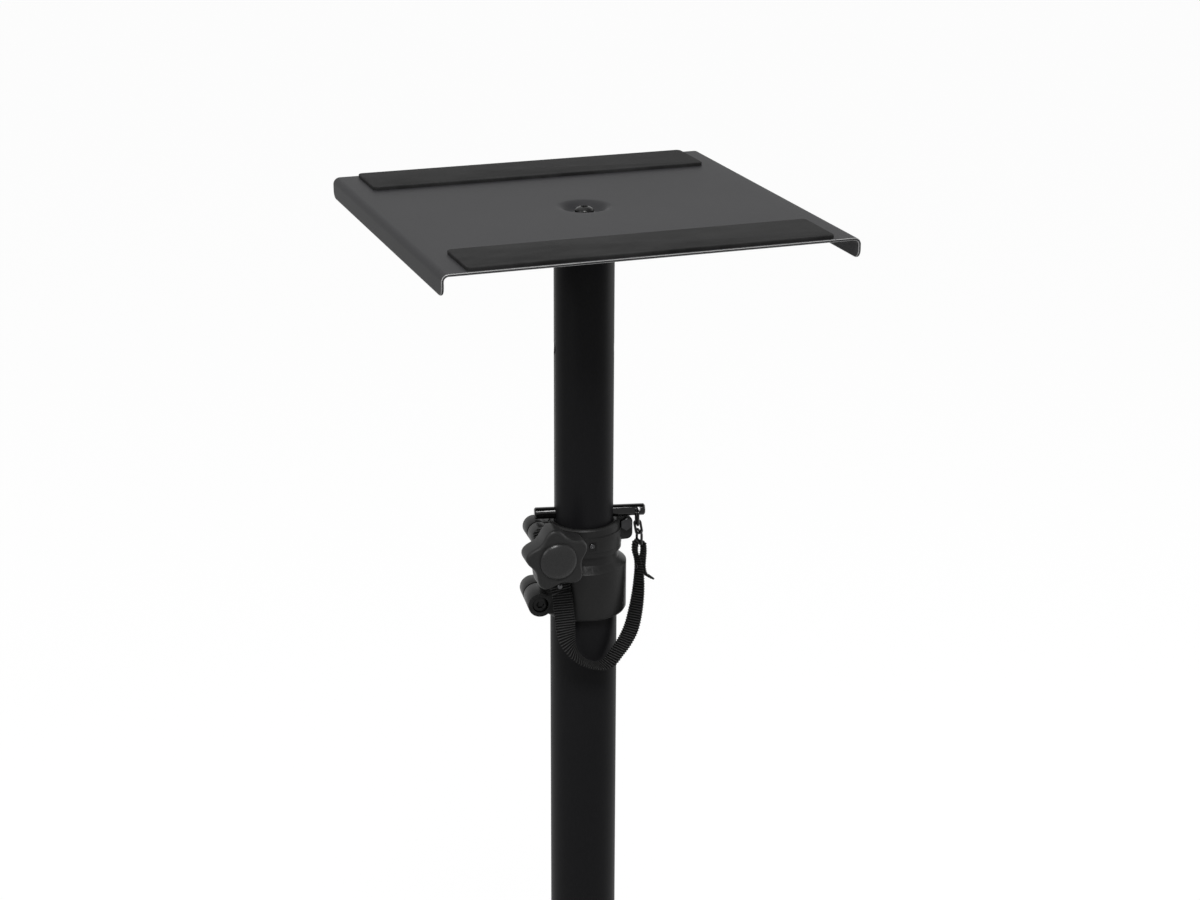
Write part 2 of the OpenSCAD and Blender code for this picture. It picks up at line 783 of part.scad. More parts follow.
module knob_nut() {
    color([0.45, 0.45, 0.47])
        on_band_line()
            fore_aft_nut(-upper_ear_x, upper_ear_z, stud_d, knob_nut_af, knob_nut_h,
                ear_far - knob_nut_h - nut_recess);
}

module sleeve_clamp_nut() {
    color([0.45, 0.45, 0.47])
        on_sleeve_line()
            fore_aft_nut(-lower_ear_x, lower_ear_z, clamp_screw_d, clamp_nut_af, clamp_nut_h,
                lower_ear_far - clamp_nut_h - nut_recess);
}

module sleeve_clamp_screw() {
    head_near = lower_ear_near - clamp_head_sink + clamp_head_h;
    color([0.4, 0.4, 0.42])
        on_sleeve_line()
            difference() {
                union() {
                    fore_aft(-lower_ear_x, lower_ear_z, clamp_head_d, head_near, clamp_head_sink - lower_ear_near);
                    fore_aft(-lower_ear_x, lower_ear_z, clamp_screw_d, head_near - clamp_head_h / 2,
                        lower_ear_far - nut_recess);
                }
                fore_aft(-lower_ear_x, lower_ear_z, across_corners(hex_key_af), head_near + overrun,
                    clamp_head_h / 2 - head_near, 6);
            }
}

// Star knob with its stud and washer
function lobe_r(angle) =
    knob_valley_r + (knob_r - knob_valley_r) * pow((1 + cos(knob_lobes * angle)) / 2, lobe_power);

// A ring round the knob: its level from the back, drawn in from the lobed outline
function knob_ring(level, inset) = [
    for (i = [0:2 * outline_steps - 1])
        let (a = i * 180 / outline_steps, r = lobe_r(a - knob_turned) - inset)
        [r * cos(a), r * sin(a), level]];

// A plain ring on the knob's raised centre
function dome_ring(r, level) = [
    for (i = [0:2 * outline_steps - 1])
        let (a = i * 180 / outline_steps)
        [r * cos(a), r * sin(a), level]];

module knob_body() {
    rings = concat(
        [for (e = edge_shares) knob_ring(knob_edge_r * e[0], knob_edge_r * e[1])],
        [for (i = [len(edge_shares) - 1:-1:0])
            knob_ring(knob_t - knob_edge_r * edge_shares[i][0], knob_edge_r * edge_shares[i][1])],
        [for (i = [0:dome_steps])
            let (a = dome_angle * i / dome_steps)
            dome_ring(knob_dome_d / 2 * cos(a), knob_t + knob_dome_h * sin(a) / sin(dome_angle))]);
    polyhedron(points = [for (r = rings) each r], faces = ring_faces(len(rings), 2 * outline_steps));
}

module star_knob() {
    color([0.17, 0.17, 0.17])
        on_band_line()
            difference() {
                union() {
                    translate([-upper_ear_x, -star_far, upper_ear_z])
                        rotate([90, 0, 0])
                            knob_body();
                    fore_aft(-upper_ear_x, upper_ear_z, knob_hub_d, star_far + overrun, -hub_far);
                }
                fore_aft(-upper_ear_x, upper_ear_z, stud_d + 2 * press_gap, hub_far + stud_in_knob, overrun - hub_far);
            }
}

module knob_stud() {
    color([0.45, 0.45, 0.47])
        on_band_line()
            fore_aft(-upper_ear_x, upper_ear_z, stud_d, hub_far + stud_in_knob - press_gap, stud_end);
}

module knob_washer() {
    color([0.4, 0.4, 0.42])
        on_band_line()
            difference() {
                fore_aft(-upper_ear_x, upper_ear_z, washer_d, washer_near, washer_t - washer_near);
                fore_aft(-upper_ear_x, upper_ear_z, stud_hole_d, washer_near + overrun, overrun);
            }
}

// Securing pin, along its own line through the inner tube
module along_pin() {
    on_column()
        translate([0, 0, pin_z])
            rotate([0, 0, pin_turn])
                children();
}

module securing_pin() {
    color([0.1, 0.1, 0.1])
        along_pin()
            difference() {
                translate([-pin_left, 0, 0])
                    rotate([0, 90, 0])
                        rotate_extrude($fn = round_steps)
                            polygon([
                                [0, 0], [pin_d / 2 - pin_chamfer, 0], [pin_d / 2, pin_chamfer],
                                [pin_d / 2, pin_l - pin_chamfer], [pin_d / 2 - pin_chamfer, pin_l], [0, pin_l]]);
                translate([cross_hole_x, 0, 0])
                    rotate([90 - cross_hole_tilt, 0, 0])
                        cylinder(d = cross_hole_d, h = pin_d + 2 * overrun, center = true, $fn = round_steps);
            }
}

// A link of round wire in the XZ plane: inner width, height between the wire's centres, corner radius
module chain_link(w, h, bend_r) {
    wire_r = link_wire_d / 2;
    half_w = (w + link_wire_d) / 2;
    r = min(bend_r, half_w - wire_r / 2);
    line = concat(
        arc_points(half_w - r, -r, r, 0, 90), arc_points(-half_w + r, -r, r, 90, 180),
        arc_points(-half_w + r, -h + r, r, 180, 270), arc_points(half_w - r, -h + r, r, 270, 360));
    count = len(line);
    points = [for (i = [0:count - 1])
        let (way = unit(line[(i + 1) % count] - line[(i + count - 1) % count]), out = [way[1], -way[0]])
        for (j = [0:link_sides - 1])
            let (a = 360 * j / link_sides, p = line[i] + out * wire_r * cos(a))
            [p[0], wire_r * sin(a), p[1]]];
    polyhedron(points = points, faces = ring_faces(count, link_sides, true));
}

module chain_link_upper() {
    color([0.12, 0.12, 0.12])
        on_column()
            translate([link_x, link_y, upper_link_z])
                rotate([0, 0, pin_turn + 90])
                    chain_link(upper_link_w, upper_link_h, link_corner_r);
}

module chain_link_middle() {
    color([0.12, 0.12, 0.12])
        on_column()
            translate([link_x, link_y, middle_link_z])
                rotate([0, -link_lean, pin_turn])
                    chain_link(link_w, link_h, link_w);
}

module chain_link_lower() {
    color([0.12, 0.12, 0.12])
        on_column()
            translate([lower_link_x, lower_link_y, lower_link_z])
                rotate([0, 0, 90])
                    chain_link(lower_link_w, link_h, link_corner_r);
}

// Webbing: a flat section swept along its route, with the width turned as the route says
function strap_ring(p, ahead, back) =
    let (way = unit([for (k = [0:2]) ahead[k] - back[k]]))
    let (across = [cos(p[3]), sin(p[3]), 0], w = unit(across - way * (across * way)), n = cross(way, w))
    [for (c = strap_section_shares)
        [p[0], p[1], p[2]] + w * c[0] * p[4] + n * c[1] * p[5] * strap_t];

// The doubled tab in front of the upper ear, on the band's own line
function tab_row(p) =
    let (x = p[0] - upper_ear_x, y = -tab_middle)
    [x * cos(band_turn) - y * sin(band_turn), x * sin(band_turn) + y * cos(band_turn), p[1] - upper_ear_drop,
        p[2] + band_turn, p[3], 2];

// The fold over the last link: half a turn
fold_points = [for (i = [0:fold_steps])
    let (a = 180 - 180 * i / fold_steps)
    [lower_link_x + fold_r * cos(a), lower_link_y, strap_hang_z - pin_z - fold_r + fold_r * sin(a),
        tail_points[0][3], tail_points[0][4], 1]];

strap_line = concat([for (p = tab_points) tab_row(p)], strap_points, fold_points, tail_points);

module tether_strap() {
    count = len(strap_line);
    points = [for (i = [0:count - 1])
        each strap_ring(strap_line[i], strap_line[min(i + 1, count - 1)], strap_line[max(i - 1, 0)])];
    color([0.09, 0.09, 0.1])
        on_column()
            difference() {
                translate([0, 0, pin_z])
                    polyhedron(points = points, faces = ring_faces(count, len(strap_section_shares)));
                rotate([0, 0, band_turn])
                    fore_aft(-upper_ear_x, upper_ear_z, stud_hole_d, tab_near + overrun, -ear_near + overrun);
                at_left_rivet()
                    cylinder(d = rivet_d + 2 * press_gap, h = 2 * rivet_grip_left, center = true, $fn = round_steps);
                at_right_rivet()
                    cylinder(d = rivet_d + 2 * press_gap, h = 2 * rivet_grip_right, center = true, $fn = round_steps);
            }
}

module at_left_rivet() {
    translate([rivet_left_point[0], rivet_left_point[1], pin_z + rivet_left_point[2]])
        rotate([90 - rivet_left_lean, 0, rivet_left_turn])
            children();
}

module at_right_rivet() {
    translate([rivet_right_point[0], rivet_right_point[1], pin_z + rivet_right_point[2]])
        rotate([0, 90, rivet_right_turn])
            children();
}

// A rivet with a low head on both sides of what it holds
module rivet(grip) {
    head_r = rivet_head_d / 2;
    rotate_extrude($fn = round_steps)
        polygon([
            [0, -grip / 2 - rivet_head_h], [head_r * rivet_head_top_share, -grip / 2 - rivet_head_h],
            [head_r, -grip / 2], [rivet_d / 2, -grip / 2], [rivet_d / 2, grip / 2], [head_r, grip / 2],
            [head_r * rivet_head_top_share, grip / 2 + rivet_head_h], [0, grip / 2 + rivet_head_h]]);
}

module strap_rivet_left() {
    color([0.55, 0.55, 0.57])
        on_column()
            at_left_rivet()
                rivet(rivet_grip_left);
}

module strap_rivet_right() {
    color([0.55, 0.55, 0.57])
        on_column()
            at_right_rivet()
                rivet(rivet_grip_right);
}

// Base: a lobed plate on three rectangular tubes, with a socket for the column
module hub_outline() {
    offset(r = -hub_blend_r, $fn = outline_steps)
        offset(r = hub_blend_r, $fn = outline_steps)
            union() {
                circle(r = hub_core_r, $fn = outline_steps);
                for (a = leg_angles)
                    rotate([0, 0, a])
                        translate([hub_reach / 2, 0])
                            polygon(rounded_box(hub_reach, hub_lobe_w, hub_corner_r));
            }
}

module hub_plate() {
    color([0.07, 0.07, 0.07])
        on_column()
            difference() {
                translate([0, 0, leg_top_z])
                    linear_extrude(hub_t)
                        hub_outline();
                for (a = leg_angles, x = leg_bolt_places)
                    rotate([0, 0, a])
                        translate([x, 0, leg_top_z - overrun])
                            cylinder(d = leg_bolt_d + 2 * bolt_gap, h = hub_t + 2 * overrun, $fn = round_steps);
                translate([0, 0, leg_top_z - overrun])
                    cylinder(d = base_bolt_d + 2 * bolt_gap, h = hub_t + 2 * overrun, $fn = round_steps);
            }
}

module column_socket() {
    bore_r = outer_d / 2 + seat_gap;
    wall_r = bore_r + socket_wall;
    color([0.07, 0.07, 0.07])
        on_column()
            translate([0, 0, hub_top_z])
                rotate_extrude($fn = round_steps)
                    polygon([
                        [bore_r, 0], [wall_r + weld_bead, 0], [wall_r, weld_bead],
                        [wall_r, socket_h - socket_wall / 2], [wall_r - socket_wall / 2, socket_h], [bore_r, socket_h]]);
}

module leg(angle) {
    color([0.07, 0.07, 0.07])
        at_leg(angle)
            difference() {
                translate([leg_start, 0, leg_z + leg_h / 2])
                    rotate([90, 0, 90])
                        linear_extrude(leg_reach - cap_t - leg_start)
                            difference() {
                                polygon(rounded_box(leg_w, leg_h, leg_corner_r));
                                polygon(rounded_box(leg_w - 2 * leg_wall, leg_h - 2 * leg_wall, leg_corner_r - leg_wall));
                            }
                for (x = leg_bolt_places)
                    translate([x, 0, leg_z + leg_h / 2])
                        cylinder(d = leg_bolt_d + 2 * bolt_gap, h = leg_h, $fn = round_steps);
                translate([foot_r, 0, leg_z - overrun])
                    cylinder(d = spindle_d + 2 * bolt_gap, h = leg_h / 2, $fn = round_steps);
            }
}

module leg_rear() {
    leg(leg_angles[0]);
}

module leg_left() {
    leg(leg_angles[1]);
}

module leg_right() {
    leg(leg_angles[2]);
}

module leg_end_caps() {
    inner_w = leg_w - 2 * leg_wall - 2 * press_gap;
    inner_h = leg_h - 2 * leg_wall - 2 * press_gap;
    inner_r = leg_corner_r - leg_wall;
    color([0.1, 0.1, 0.1])
        for (a = leg_angles)
            at_leg(a)
                translate([leg_reach - cap_t, 0, leg_z + leg_h / 2])
                    rotate([90, 0, 90]) {
                        linear_extrude(cap_t - cap_edge_r)
                            polygon(rounded_box(leg_w, leg_h, leg_corner_r));
                        translate([0, 0, cap_t - cap_edge_r])
                            linear_extrude(cap_edge_r, scale = [1 - 2 * cap_edge_r / leg_w, 1 - 2 * cap_edge_r / leg_h])
                                polygon(rounded_box(leg_w, leg_h, leg_corner_r));
                        translate([0, 0, -cap_plug_l])
                            linear_extrude(cap_plug_l)
                                difference() {
                                    polygon(rounded_box(inner_w, inner_h, inner_r));
                                    polygon(rounded_box(inner_w - 2 * cap_plug_wall, inner_h - 2 * cap_plug_wall, inner_r));
                                }
                    }
}

module leg_bolts() {
    shank_l = hub_t + leg_wall + leg_nut_h;
    color([0.3, 0.3, 0.32])
        for (a = leg_angles, x = leg_bolt_places)
            at_leg(a)
                translate([x, 0, hub_top_z]) {
                    cylinder(d = leg_bolt_flange_d, h = leg_bolt_flange_h, $fn = round_steps);
                    cylinder(d = across_corners(leg_bolt_af), h = leg_bolt_head_h, $fn = 6);
                    translate([0, 0, -shank_l])
                        cylinder(d = leg_bolt_d, h = shank_l + leg_bolt_flange_h / 2, $fn = round_steps);
                }
}

module leg_weld_nuts() {
    color([0.35, 0.35, 0.36])
        for (a = leg_angles, x = leg_bolt_places)
            at_leg(a)
                translate([x, 0, leg_top_z - leg_wall - leg_nut_h])
                    difference() {
                        cylinder(d = across_corners(leg_bolt_af), h = leg_nut_h, $fn = 6);
                        translate([0, 0, -overrun])
                            cylinder(d = leg_bolt_d + 2 * thread_gap, h = leg_nut_h + 2 * overrun, $fn = round_steps);
                    }
}

module foot_weld_nuts() {
    color([0.35, 0.35, 0.36])
        for (a = leg_angles)
            at_leg(a)
                translate([foot_r, 0, leg_z + leg_wall])
                    difference() {
                        cylinder(d = across_corners(foot_hex_af), h = foot_nut_h, $fn = 6);
                        translate([0, 0, -overrun])
                            cylinder(d = spindle_d + 2 * thread_gap, h = foot_nut_h + 2 * overrun, $fn = round_steps);
                    }
}

module base_washer() {
    color([0.35, 0.35, 0.36])
        on_column()
            translate([0, 0, leg_top_z - base_washer_t])
                ring(base_washer_d, base_bolt_d + 2 * bolt_gap, base_washer_t);
}

module base_bolt() {
    head_z = leg_top_z - base_washer_t - base_head_h;
    color([0.35, 0.35, 0.36])
        on_column() {
            translate([0, 0, head_z])
                cylinder(d = across_corners(base_head_af), h = base_head_h, $fn = 6);
            translate([0, 0, head_z + base_head_h / 2])
                cylinder(d = base_bolt_d, h = base_head_h / 2 + base_washer_t + hub_t + base_bolt_in_plug, $fn = round_steps);
        }
}

// Levelling foot: a rubber pad that stays still while the hexagon spindle turns in it
module foot_pad(angle) {
    bore_r = spindle_pin_d / 2 + pad_bore_gap;
    bore_z = pad_h - spindle_pin_l - seat_gap;
    color([0.08, 0.08, 0.08])
        at_leg(angle)
            translate([foot_r, 0, 0])
                rotate_extrude($fn = round_steps)
                    polygon([
                        [0, 0], [pad_d / 2 - cap_edge_r, 0], [pad_d / 2, cap_edge_r], [pad_d / 2, pad_rim_h],
                        [pad_top_d / 2, pad_h], [bore_r, pad_h], [bore_r, bore_z], [0, bore_z]]);
}

module foot_spindle(angle) {
    color([0.5, 0.5, 0.52])
        at_leg(angle)
            translate([foot_r, 0, pad_h]) {
                translate([0, 0, -spindle_pin_l])
                    cylinder(d = spindle_pin_d, h = spindle_pin_l + hex_h / 2, $fn = round_steps);
                cylinder(d = across_corners(foot_hex_af), h = hex_h, $fn = 6);
                translate([0, 0, hex_h / 2])
                    cylinder(d = spindle_d, h = spindle_up + hex_h / 2, $fn = round_steps);
            }
}

module foot_pad_rear() {
    foot_pad(leg_angles[0]);
}

module foot_pad_left() {
    foot_pad(leg_angles[1]);
}

module foot_pad_right() {
    foot_pad(leg_angles[2]);
}

module foot_spindle_rear() {
    foot_spindle(leg_angles[0]);
}

module foot_spindle_left() {
    foot_spindle(leg_angles[1]);
}

module foot_spindle_right() {
    foot_spindle(leg_angles[2]);
}

hub_plate();
column_socket();
leg_rear();
leg_left();
leg_right();
leg_end_caps();
leg_bolts();
leg_weld_nuts();
foot_weld_nuts();
base_bolt();
base_washer();
column_plug();
outer_tube();
guide_sleeve();
collar_sleeve();
clamp_band_front();
clamp_band_rear();
band_bolt();
band_nut();
band_set_screw();
sleeve_clamp_screw();
sleeve_clamp_nut();
knob_nut();
knob_washer();
star_knob();
knob_stud();
inner_tube();
inner_tube_bush();
tube_top_plug();
top_plate();
rubber_strip_front();
rubber_strip_rear();
plate_bolt();
plate_washer();
securing_pin();
chain_link_upper();
chain_link_middle();
chain_link_lower();
tether_strap();
strap_rivet_left();
strap_rivet_right();
foot_pad_rear();
foot_pad_left();
foot_pad_right();
foot_spindle_rear();
foot_spindle_left();
foot_spindle_right();
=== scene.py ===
# Studio monitor stand: black powder-coated steel with a moulded clamp collar, a star knob,
# a securing pin on a short chain and a webbing tether.
import json
import math
import bmesh
import bpy
from mathutils import Matrix, Vector


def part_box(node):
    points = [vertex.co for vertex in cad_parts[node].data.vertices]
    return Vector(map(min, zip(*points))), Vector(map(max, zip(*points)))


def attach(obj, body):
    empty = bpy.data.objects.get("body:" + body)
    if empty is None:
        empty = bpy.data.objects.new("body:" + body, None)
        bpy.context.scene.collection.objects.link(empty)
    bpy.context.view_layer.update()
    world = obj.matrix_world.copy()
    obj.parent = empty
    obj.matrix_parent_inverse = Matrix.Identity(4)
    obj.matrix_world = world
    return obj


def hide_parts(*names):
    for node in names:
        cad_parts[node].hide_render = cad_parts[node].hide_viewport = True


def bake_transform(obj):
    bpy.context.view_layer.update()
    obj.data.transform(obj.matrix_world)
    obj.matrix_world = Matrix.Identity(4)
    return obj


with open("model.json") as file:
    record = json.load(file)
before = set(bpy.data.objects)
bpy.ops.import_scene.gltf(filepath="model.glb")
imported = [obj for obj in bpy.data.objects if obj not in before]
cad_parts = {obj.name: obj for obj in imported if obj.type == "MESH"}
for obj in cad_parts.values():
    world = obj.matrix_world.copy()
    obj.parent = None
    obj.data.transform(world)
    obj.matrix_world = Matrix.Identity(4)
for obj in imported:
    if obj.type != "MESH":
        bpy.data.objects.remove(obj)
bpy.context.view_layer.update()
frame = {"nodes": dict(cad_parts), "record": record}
nodes = frame["nodes"]
record = frame["record"]
bodies = record["behaviour"]["bodies"]
bodyOf = {name: body for body, names in bodies.items() for name in names}
print("stand: frame loaded,", len(nodes), "nodes")


def middle(node):
    low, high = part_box(node)
    return Vector([(a + b) / 2 for a, b in zip(low, high)])


columnY = middle("outer_tube").y
pinZ = middle("securing_pin").z
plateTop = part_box("top_plate")[1][2]
mm = 0.001
tiny = 1e-6  # metres: closer points count as one


def addObject(name, data):
    item = bpy.data.objects.new(name, data)
    bpy.context.scene.collection.objects.link(item)
    return item


viewpoint = {
    "fromPlate": (-0.4253, -1.1982, 0.3095),  # from the middle of the plate's face
    "right": (0.9404, -0.3401, 0.0043),
    "forward": (0.3215, 0.8847, -0.3377),
    "lens": 69.005,
    "sensor": 36.0,
    "nearest": 0.02,
}


def setCamera(view):
    data = bpy.data.cameras.new("standCamera")
    data.lens = view["lens"]
    data.sensor_width = view["sensor"]
    data.sensor_fit = "HORIZONTAL"
    data.clip_start = view["nearest"]
    camera = addObject("standCamera", data)
    right = Vector(view["right"]).normalized()
    back = -Vector(view["forward"]).normalized()
    up = back.cross(right).normalized()
    right = up.cross(back).normalized()
    turn = Matrix((right, up, back)).transposed().to_4x4()
    place = Vector((0, columnY, plateTop)) + Vector(view["fromPlate"])
    camera.matrix_world = Matrix.Translation(place) @ turn
    bpy.context.scene.camera = camera


setCamera(viewpoint)
print("stand: camera set")


# Shader maths: an expression on signals adds its Math nodes
class Signal:
    def __init__(self, board, node, socket):
        self.board = board
        self.node = node
        self.socket = socket

    def output(self, name):
        return Signal(self.board, self.node, self.node.outputs[name])

    def combine(self, operation, first, second):
        return self.board.add("ShaderNodeMath", {"operation": operation}, {0: first, 1: second})

    def __add__(self, other):
        return self.combine("ADD", self, other)

    def __radd__(self, other):
        return self.combine("ADD", other, self)

    def __sub__(self, other):
        return self.combine("SUBTRACT", self, other)

    def __rsub__(self, other):
        return self.combine("SUBTRACT", other, self)

    def __mul__(self, other):
        return self.combine("MULTIPLY", self, other)

    def __rmul__(self, other):
        return self.combine("MULTIPLY", other, self)

    def __pow__(self, other):
        return self.combine("POWER", self, other)


def grey(shade):
    return (shade, shade, shade)


class NodeBoard:
    def __init__(self, tree):
        self.tree = tree
        self.tree.nodes.clear()

    def feed(self, socket, value):
        if isinstance(value, Signal):
            self.tree.links.new(value.socket, socket)
        else:
            socket.default_value = value

    def add(self, kind, settings=None, sockets=None):
        node = self.tree.nodes.new(kind)
        for key, value in (settings or {}).items():
            if key == "stops":
                for stop, (at, shade) in zip(node.color_ramp.elements, value):
                    stop.position = at
                    stop.color = (*grey(shade), 1)
            else:
                setattr(node, key, value)
        for key, value in (sockets or {}).items():
            self.feed(node.inputs[key], value)
        return Signal(self, node, node.outputs[0] if node.outputs else None)

    def backgroundRays(self):
        # what the camera sees, also in a mirror or through glass
        path = self.add("ShaderNodeLightPath")
        seen = path.output("Is Camera Ray") + path.output("Is Glossy Ray")
        return seen + path.output("Is Transmission Ray")


class Finish(NodeBoard):
    def __init__(self, name, **fixed):
        self.material = bpy.data.materials.new(name)
        self.material.use_nodes = True
        super().__init__(self.material.node_tree)
        constants = {key.replace("_", " "): value for key, value in fixed.items()}
        self.surface = self.add("ShaderNodeBsdfPrincipled", None, constants)
        self.result = self.add("ShaderNodeOutputMaterial", None, {"Surface": self.surface})

    def set(self, socket, value):
        self.feed(self.surface.node.inputs[socket], value)

    def objectPlace(self, scale=(1, 1, 1)):
        place = self.add("ShaderNodeTexCoord").output("Object")
        return self.add("ShaderNodeMapping", None, {"Vector": place, "Scale": scale})

    def noise(self, place, scale, detail, rough):
        return self.add("ShaderNodeTexNoise", None,
                        {"Vector": place, "Scale": scale, "Detail": detail, "Roughness": rough})

    def wave(self, operation, place, pitch):
        turns = place * (2 * math.pi / pitch)
        return self.add("ShaderNodeMath", {"operation": operation}, {0: turns}) * 0.5 + 0.5

    def spread(self, mask, low, high):
        return mask * (high - low) + low

    def shades(self, mask, dark, light):
        mixed = self.add("ShaderNodeMix", {"data_type": "RGBA"},
                         {0: mask, 6: (*dark, 1), 7: (*light, 1)})
        return mixed.output(2)

    def bump(self, height, depth, strength):
        return self.add("ShaderNodeBump", None,
                        {"Height": height, "Distance": depth * mm, "Strength": strength})


# In the settings below a noise is its scale, detail and roughness, and a depth is in millimetres
coatGrain = {
    "cloud": (9.0, 4.0, 0.6), "peel": (1100.0, 2.0, 0.55), "speck": (2860.0, 1.0, 0.5),
    "gloss": 0.07, "depth": 0.06, "strength": 0.8,
}


def powderCoat(name, dark, light, rough, specular):
    # fine orange peel, with soft clouds in colour and gloss
    finish = Finish(name, Specular_IOR_Level=specular)
    place = finish.objectPlace()
    cloud = finish.noise(place, *coatGrain["cloud"])
    peel = finish.noise(place, *coatGrain["peel"])
    speck = finish.noise(place, *coatGrain["speck"])
    gloss = coatGrain["gloss"]
    finish.set("Base Color", finish.shades(cloud * 0.6 + peel * 0.4, dark, light))
    finish.set("Roughness", finish.spread(cloud * 0.5 + speck * 0.5, rough - gloss, rough + gloss))
    finish.set("Normal", finish.bump(peel * 0.7 + speck * 0.3, coatGrain["depth"],
                                     coatGrain["strength"]))
    return finish.material


nylonGrain = {
    "flow": (60.0, 3.0, 0.6), "flowStretch": (1, 1, 0.25), "grain": (2600.0, 2.0, 0.6),
    "pits": 1500.0, "pitSoftness": 0.6, "gloss": 0.08, "depth": 0.05, "strength": 0.8,
}


def mouldedNylon(name, dark, light, rough, specular):
    # spark-eroded mould texture with faint flow marks
    finish = Finish(name, Specular_IOR_Level=specular)
    place = finish.objectPlace()
    flow = finish.noise(finish.objectPlace(nylonGrain["flowStretch"]), *nylonGrain["flow"])
    pit = finish.add("ShaderNodeTexVoronoi", {"feature": "SMOOTH_F1"},
                     {"Vector": place, "Scale": nylonGrain["pits"],
                      "Smoothness": nylonGrain["pitSoftness"]})
    grain = finish.noise(place, *nylonGrain["grain"])
    gloss = nylonGrain["gloss"]
    finish.set("Base Color", finish.shades(flow * 0.7 + grain * 0.3, dark, light))
    finish.set("Roughness", finish.spread(flow * 0.4 + grain * 0.6, rough - gloss, rough + gloss))
    finish.set("Normal", finish.bump(pit * 0.6 + grain * 0.4, nylonGrain["depth"],
                                     nylonGrain["strength"]))
    return finish.material


rubberGrain = {
    "worn": (26.0, 8.0, 0.75), "wornStretch": (1, 2.5, 1), "wornRange": [(0.38, 0.0), (0.66, 1.0)],
    "grain": (1500.0, 3.0, 0.7), "pores": 900.0, "specular": 0.1,
    "gloss": 0.1, "depth": 0.12, "strength": 0.9,
}


def rubber(name, dark, light, rough):
    # matt rubber sheet: open grain and rubbed patches
    finish = Finish(name, Specular_IOR_Level=rubberGrain["specular"])
    place = finish.objectPlace()
    worn = finish.noise(finish.objectPlace(rubberGrain["wornStretch"]), *rubberGrain["worn"])
    patch = finish.add("ShaderNodeValToRGB", {"stops": rubberGrain["wornRange"]}, {"Fac": worn})
    grain = finish.noise(place, *rubberGrain["grain"])
    pore = finish.add("ShaderNodeTexVoronoi", {"feature": "F1"},
                      {"Vector": place, "Scale": rubberGrain["pores"]})
    gloss = rubberGrain["gloss"]
    finish.set("Base Color", finish.shades(patch * 0.75 + grain * 0.25, dark, light))
    finish.set("Roughness", finish.spread(patch * 0.5 + grain * 0.5, rough - gloss, rough + gloss))
    finish.set("Normal", finish.bump(grain * 0.6 + pore * 0.4, rubberGrain["depth"],
                                     rubberGrain["strength"]))
    return finish.material


platedGrain = {
    "cloud": (260.0, 4.0, 0.6), "fine": (2400.0, 2.0, 0.5),
    "smoother": 0.08, "rougher": 0.1, "depth": 0.02, "strength": 0.6,
}


def plated(name, dark, light, rough):
    # plated steel: bright metal with small cloudy patches
    finish = Finish(name, Metallic=1.0)
    place = finish.objectPlace()
    cloud = finish.noise(place, *platedGrain["cloud"])
    fine = finish.noise(place, *platedGrain["fine"])
    finish.set("Base Color", finish.shades(cloud, dark, light))
    finish.set("Roughness", finish.spread(cloud * 0.6 + fine * 0.4,
                                          rough - platedGrain["smoother"],
                                          rough + platedGrain["rougher"]))
    finish.set("Normal", finish.bump(fine, platedGrain["depth"], platedGrain["strength"]))
    return finish.material


glossWear = {
    "wear": (420.0, 4.0, 0.65), "ripple": (700.0, 2.0, 0.5), "specular": 0.2,
    "coatRoughness": 0.05, "coatIor": 1.2, "freshCoat": 0.7, "wornCoat": 0.3,
    "gloss": 0.15, "depth": 0.04, "strength": 0.5,
}


def glossBlack(name, dark, light, rough):
    # hard glossy black coat that has worn a little
    finish = Finish(name, Specular_IOR_Level=glossWear["specular"],
                    Coat_Roughness=glossWear["coatRoughness"], Coat_IOR=glossWear["coatIor"])
    place = finish.objectPlace()
    wear = finish.noise(place, *glossWear["wear"])
    ripple = finish.noise(place, *glossWear["ripple"])
    finish.set("Base Color", finish.shades(wear, dark, light))
    finish.set("Roughness", finish.spread(wear, rough, rough + glossWear["gloss"]))
    finish.set("Coat Weight", finish.spread(wear, glossWear["freshCoat"], glossWear["wornCoat"]))
    finish.set("Normal", finish.bump(ripple, glossWear["depth"], glossWear["strength"]))
    return finish.material


webbingWeave = {
    "ribPitch": 1.55, "yarnPitch": 0.42, "fluff": (2200.0, 3.0, 0.7),  # pitches in millimetres
    "ribContrast": 3, "rough": 0.72, "specular": 0.08, "depth": 0.1, "strength": 0.8,
}


def webbing(name, dark, light):
    # ribbed polyester webbing: U runs along the strap in metres, V across it
    finish = Finish(name, Roughness=webbingWeave["rough"],
                    Specular_IOR_Level=webbingWeave["specular"])
    strapPlace = finish.add("ShaderNodeUVMap", {"uv_map": "webbing"})
    mapped = finish.add("ShaderNodeMapping", None, {"Vector": strapPlace, "Scale": (1, 1, 1)})
    axes = finish.add("ShaderNodeSeparateXYZ", None, {0: mapped})
    rib = finish.wave("COSINE", axes.output("X"), webbingWeave["ribPitch"] * mm)
    yarn = finish.wave("SINE", axes.output("Y"), webbingWeave["yarnPitch"] * mm)
    fluff = finish.noise(finish.objectPlace(), *webbingWeave["fluff"])
    # painted light and shade: rib crests coloured lighter and valleys near black, as lit crests and
    # shaded valleys; the yarn and fluff add real tone
    paintedCrestLightAndFluff = rib ** webbingWeave["ribContrast"] * (yarn * 0.3 + fluff * 0.7)
    finish.set("Base Color", finish.shades(paintedCrestLightAndFluff, dark, light))
    finish.set("Normal", finish.bump(yarn * 0.6 + fluff * 0.4, webbingWeave["depth"],
                                     webbingWeave["strength"]))
    return finish.material


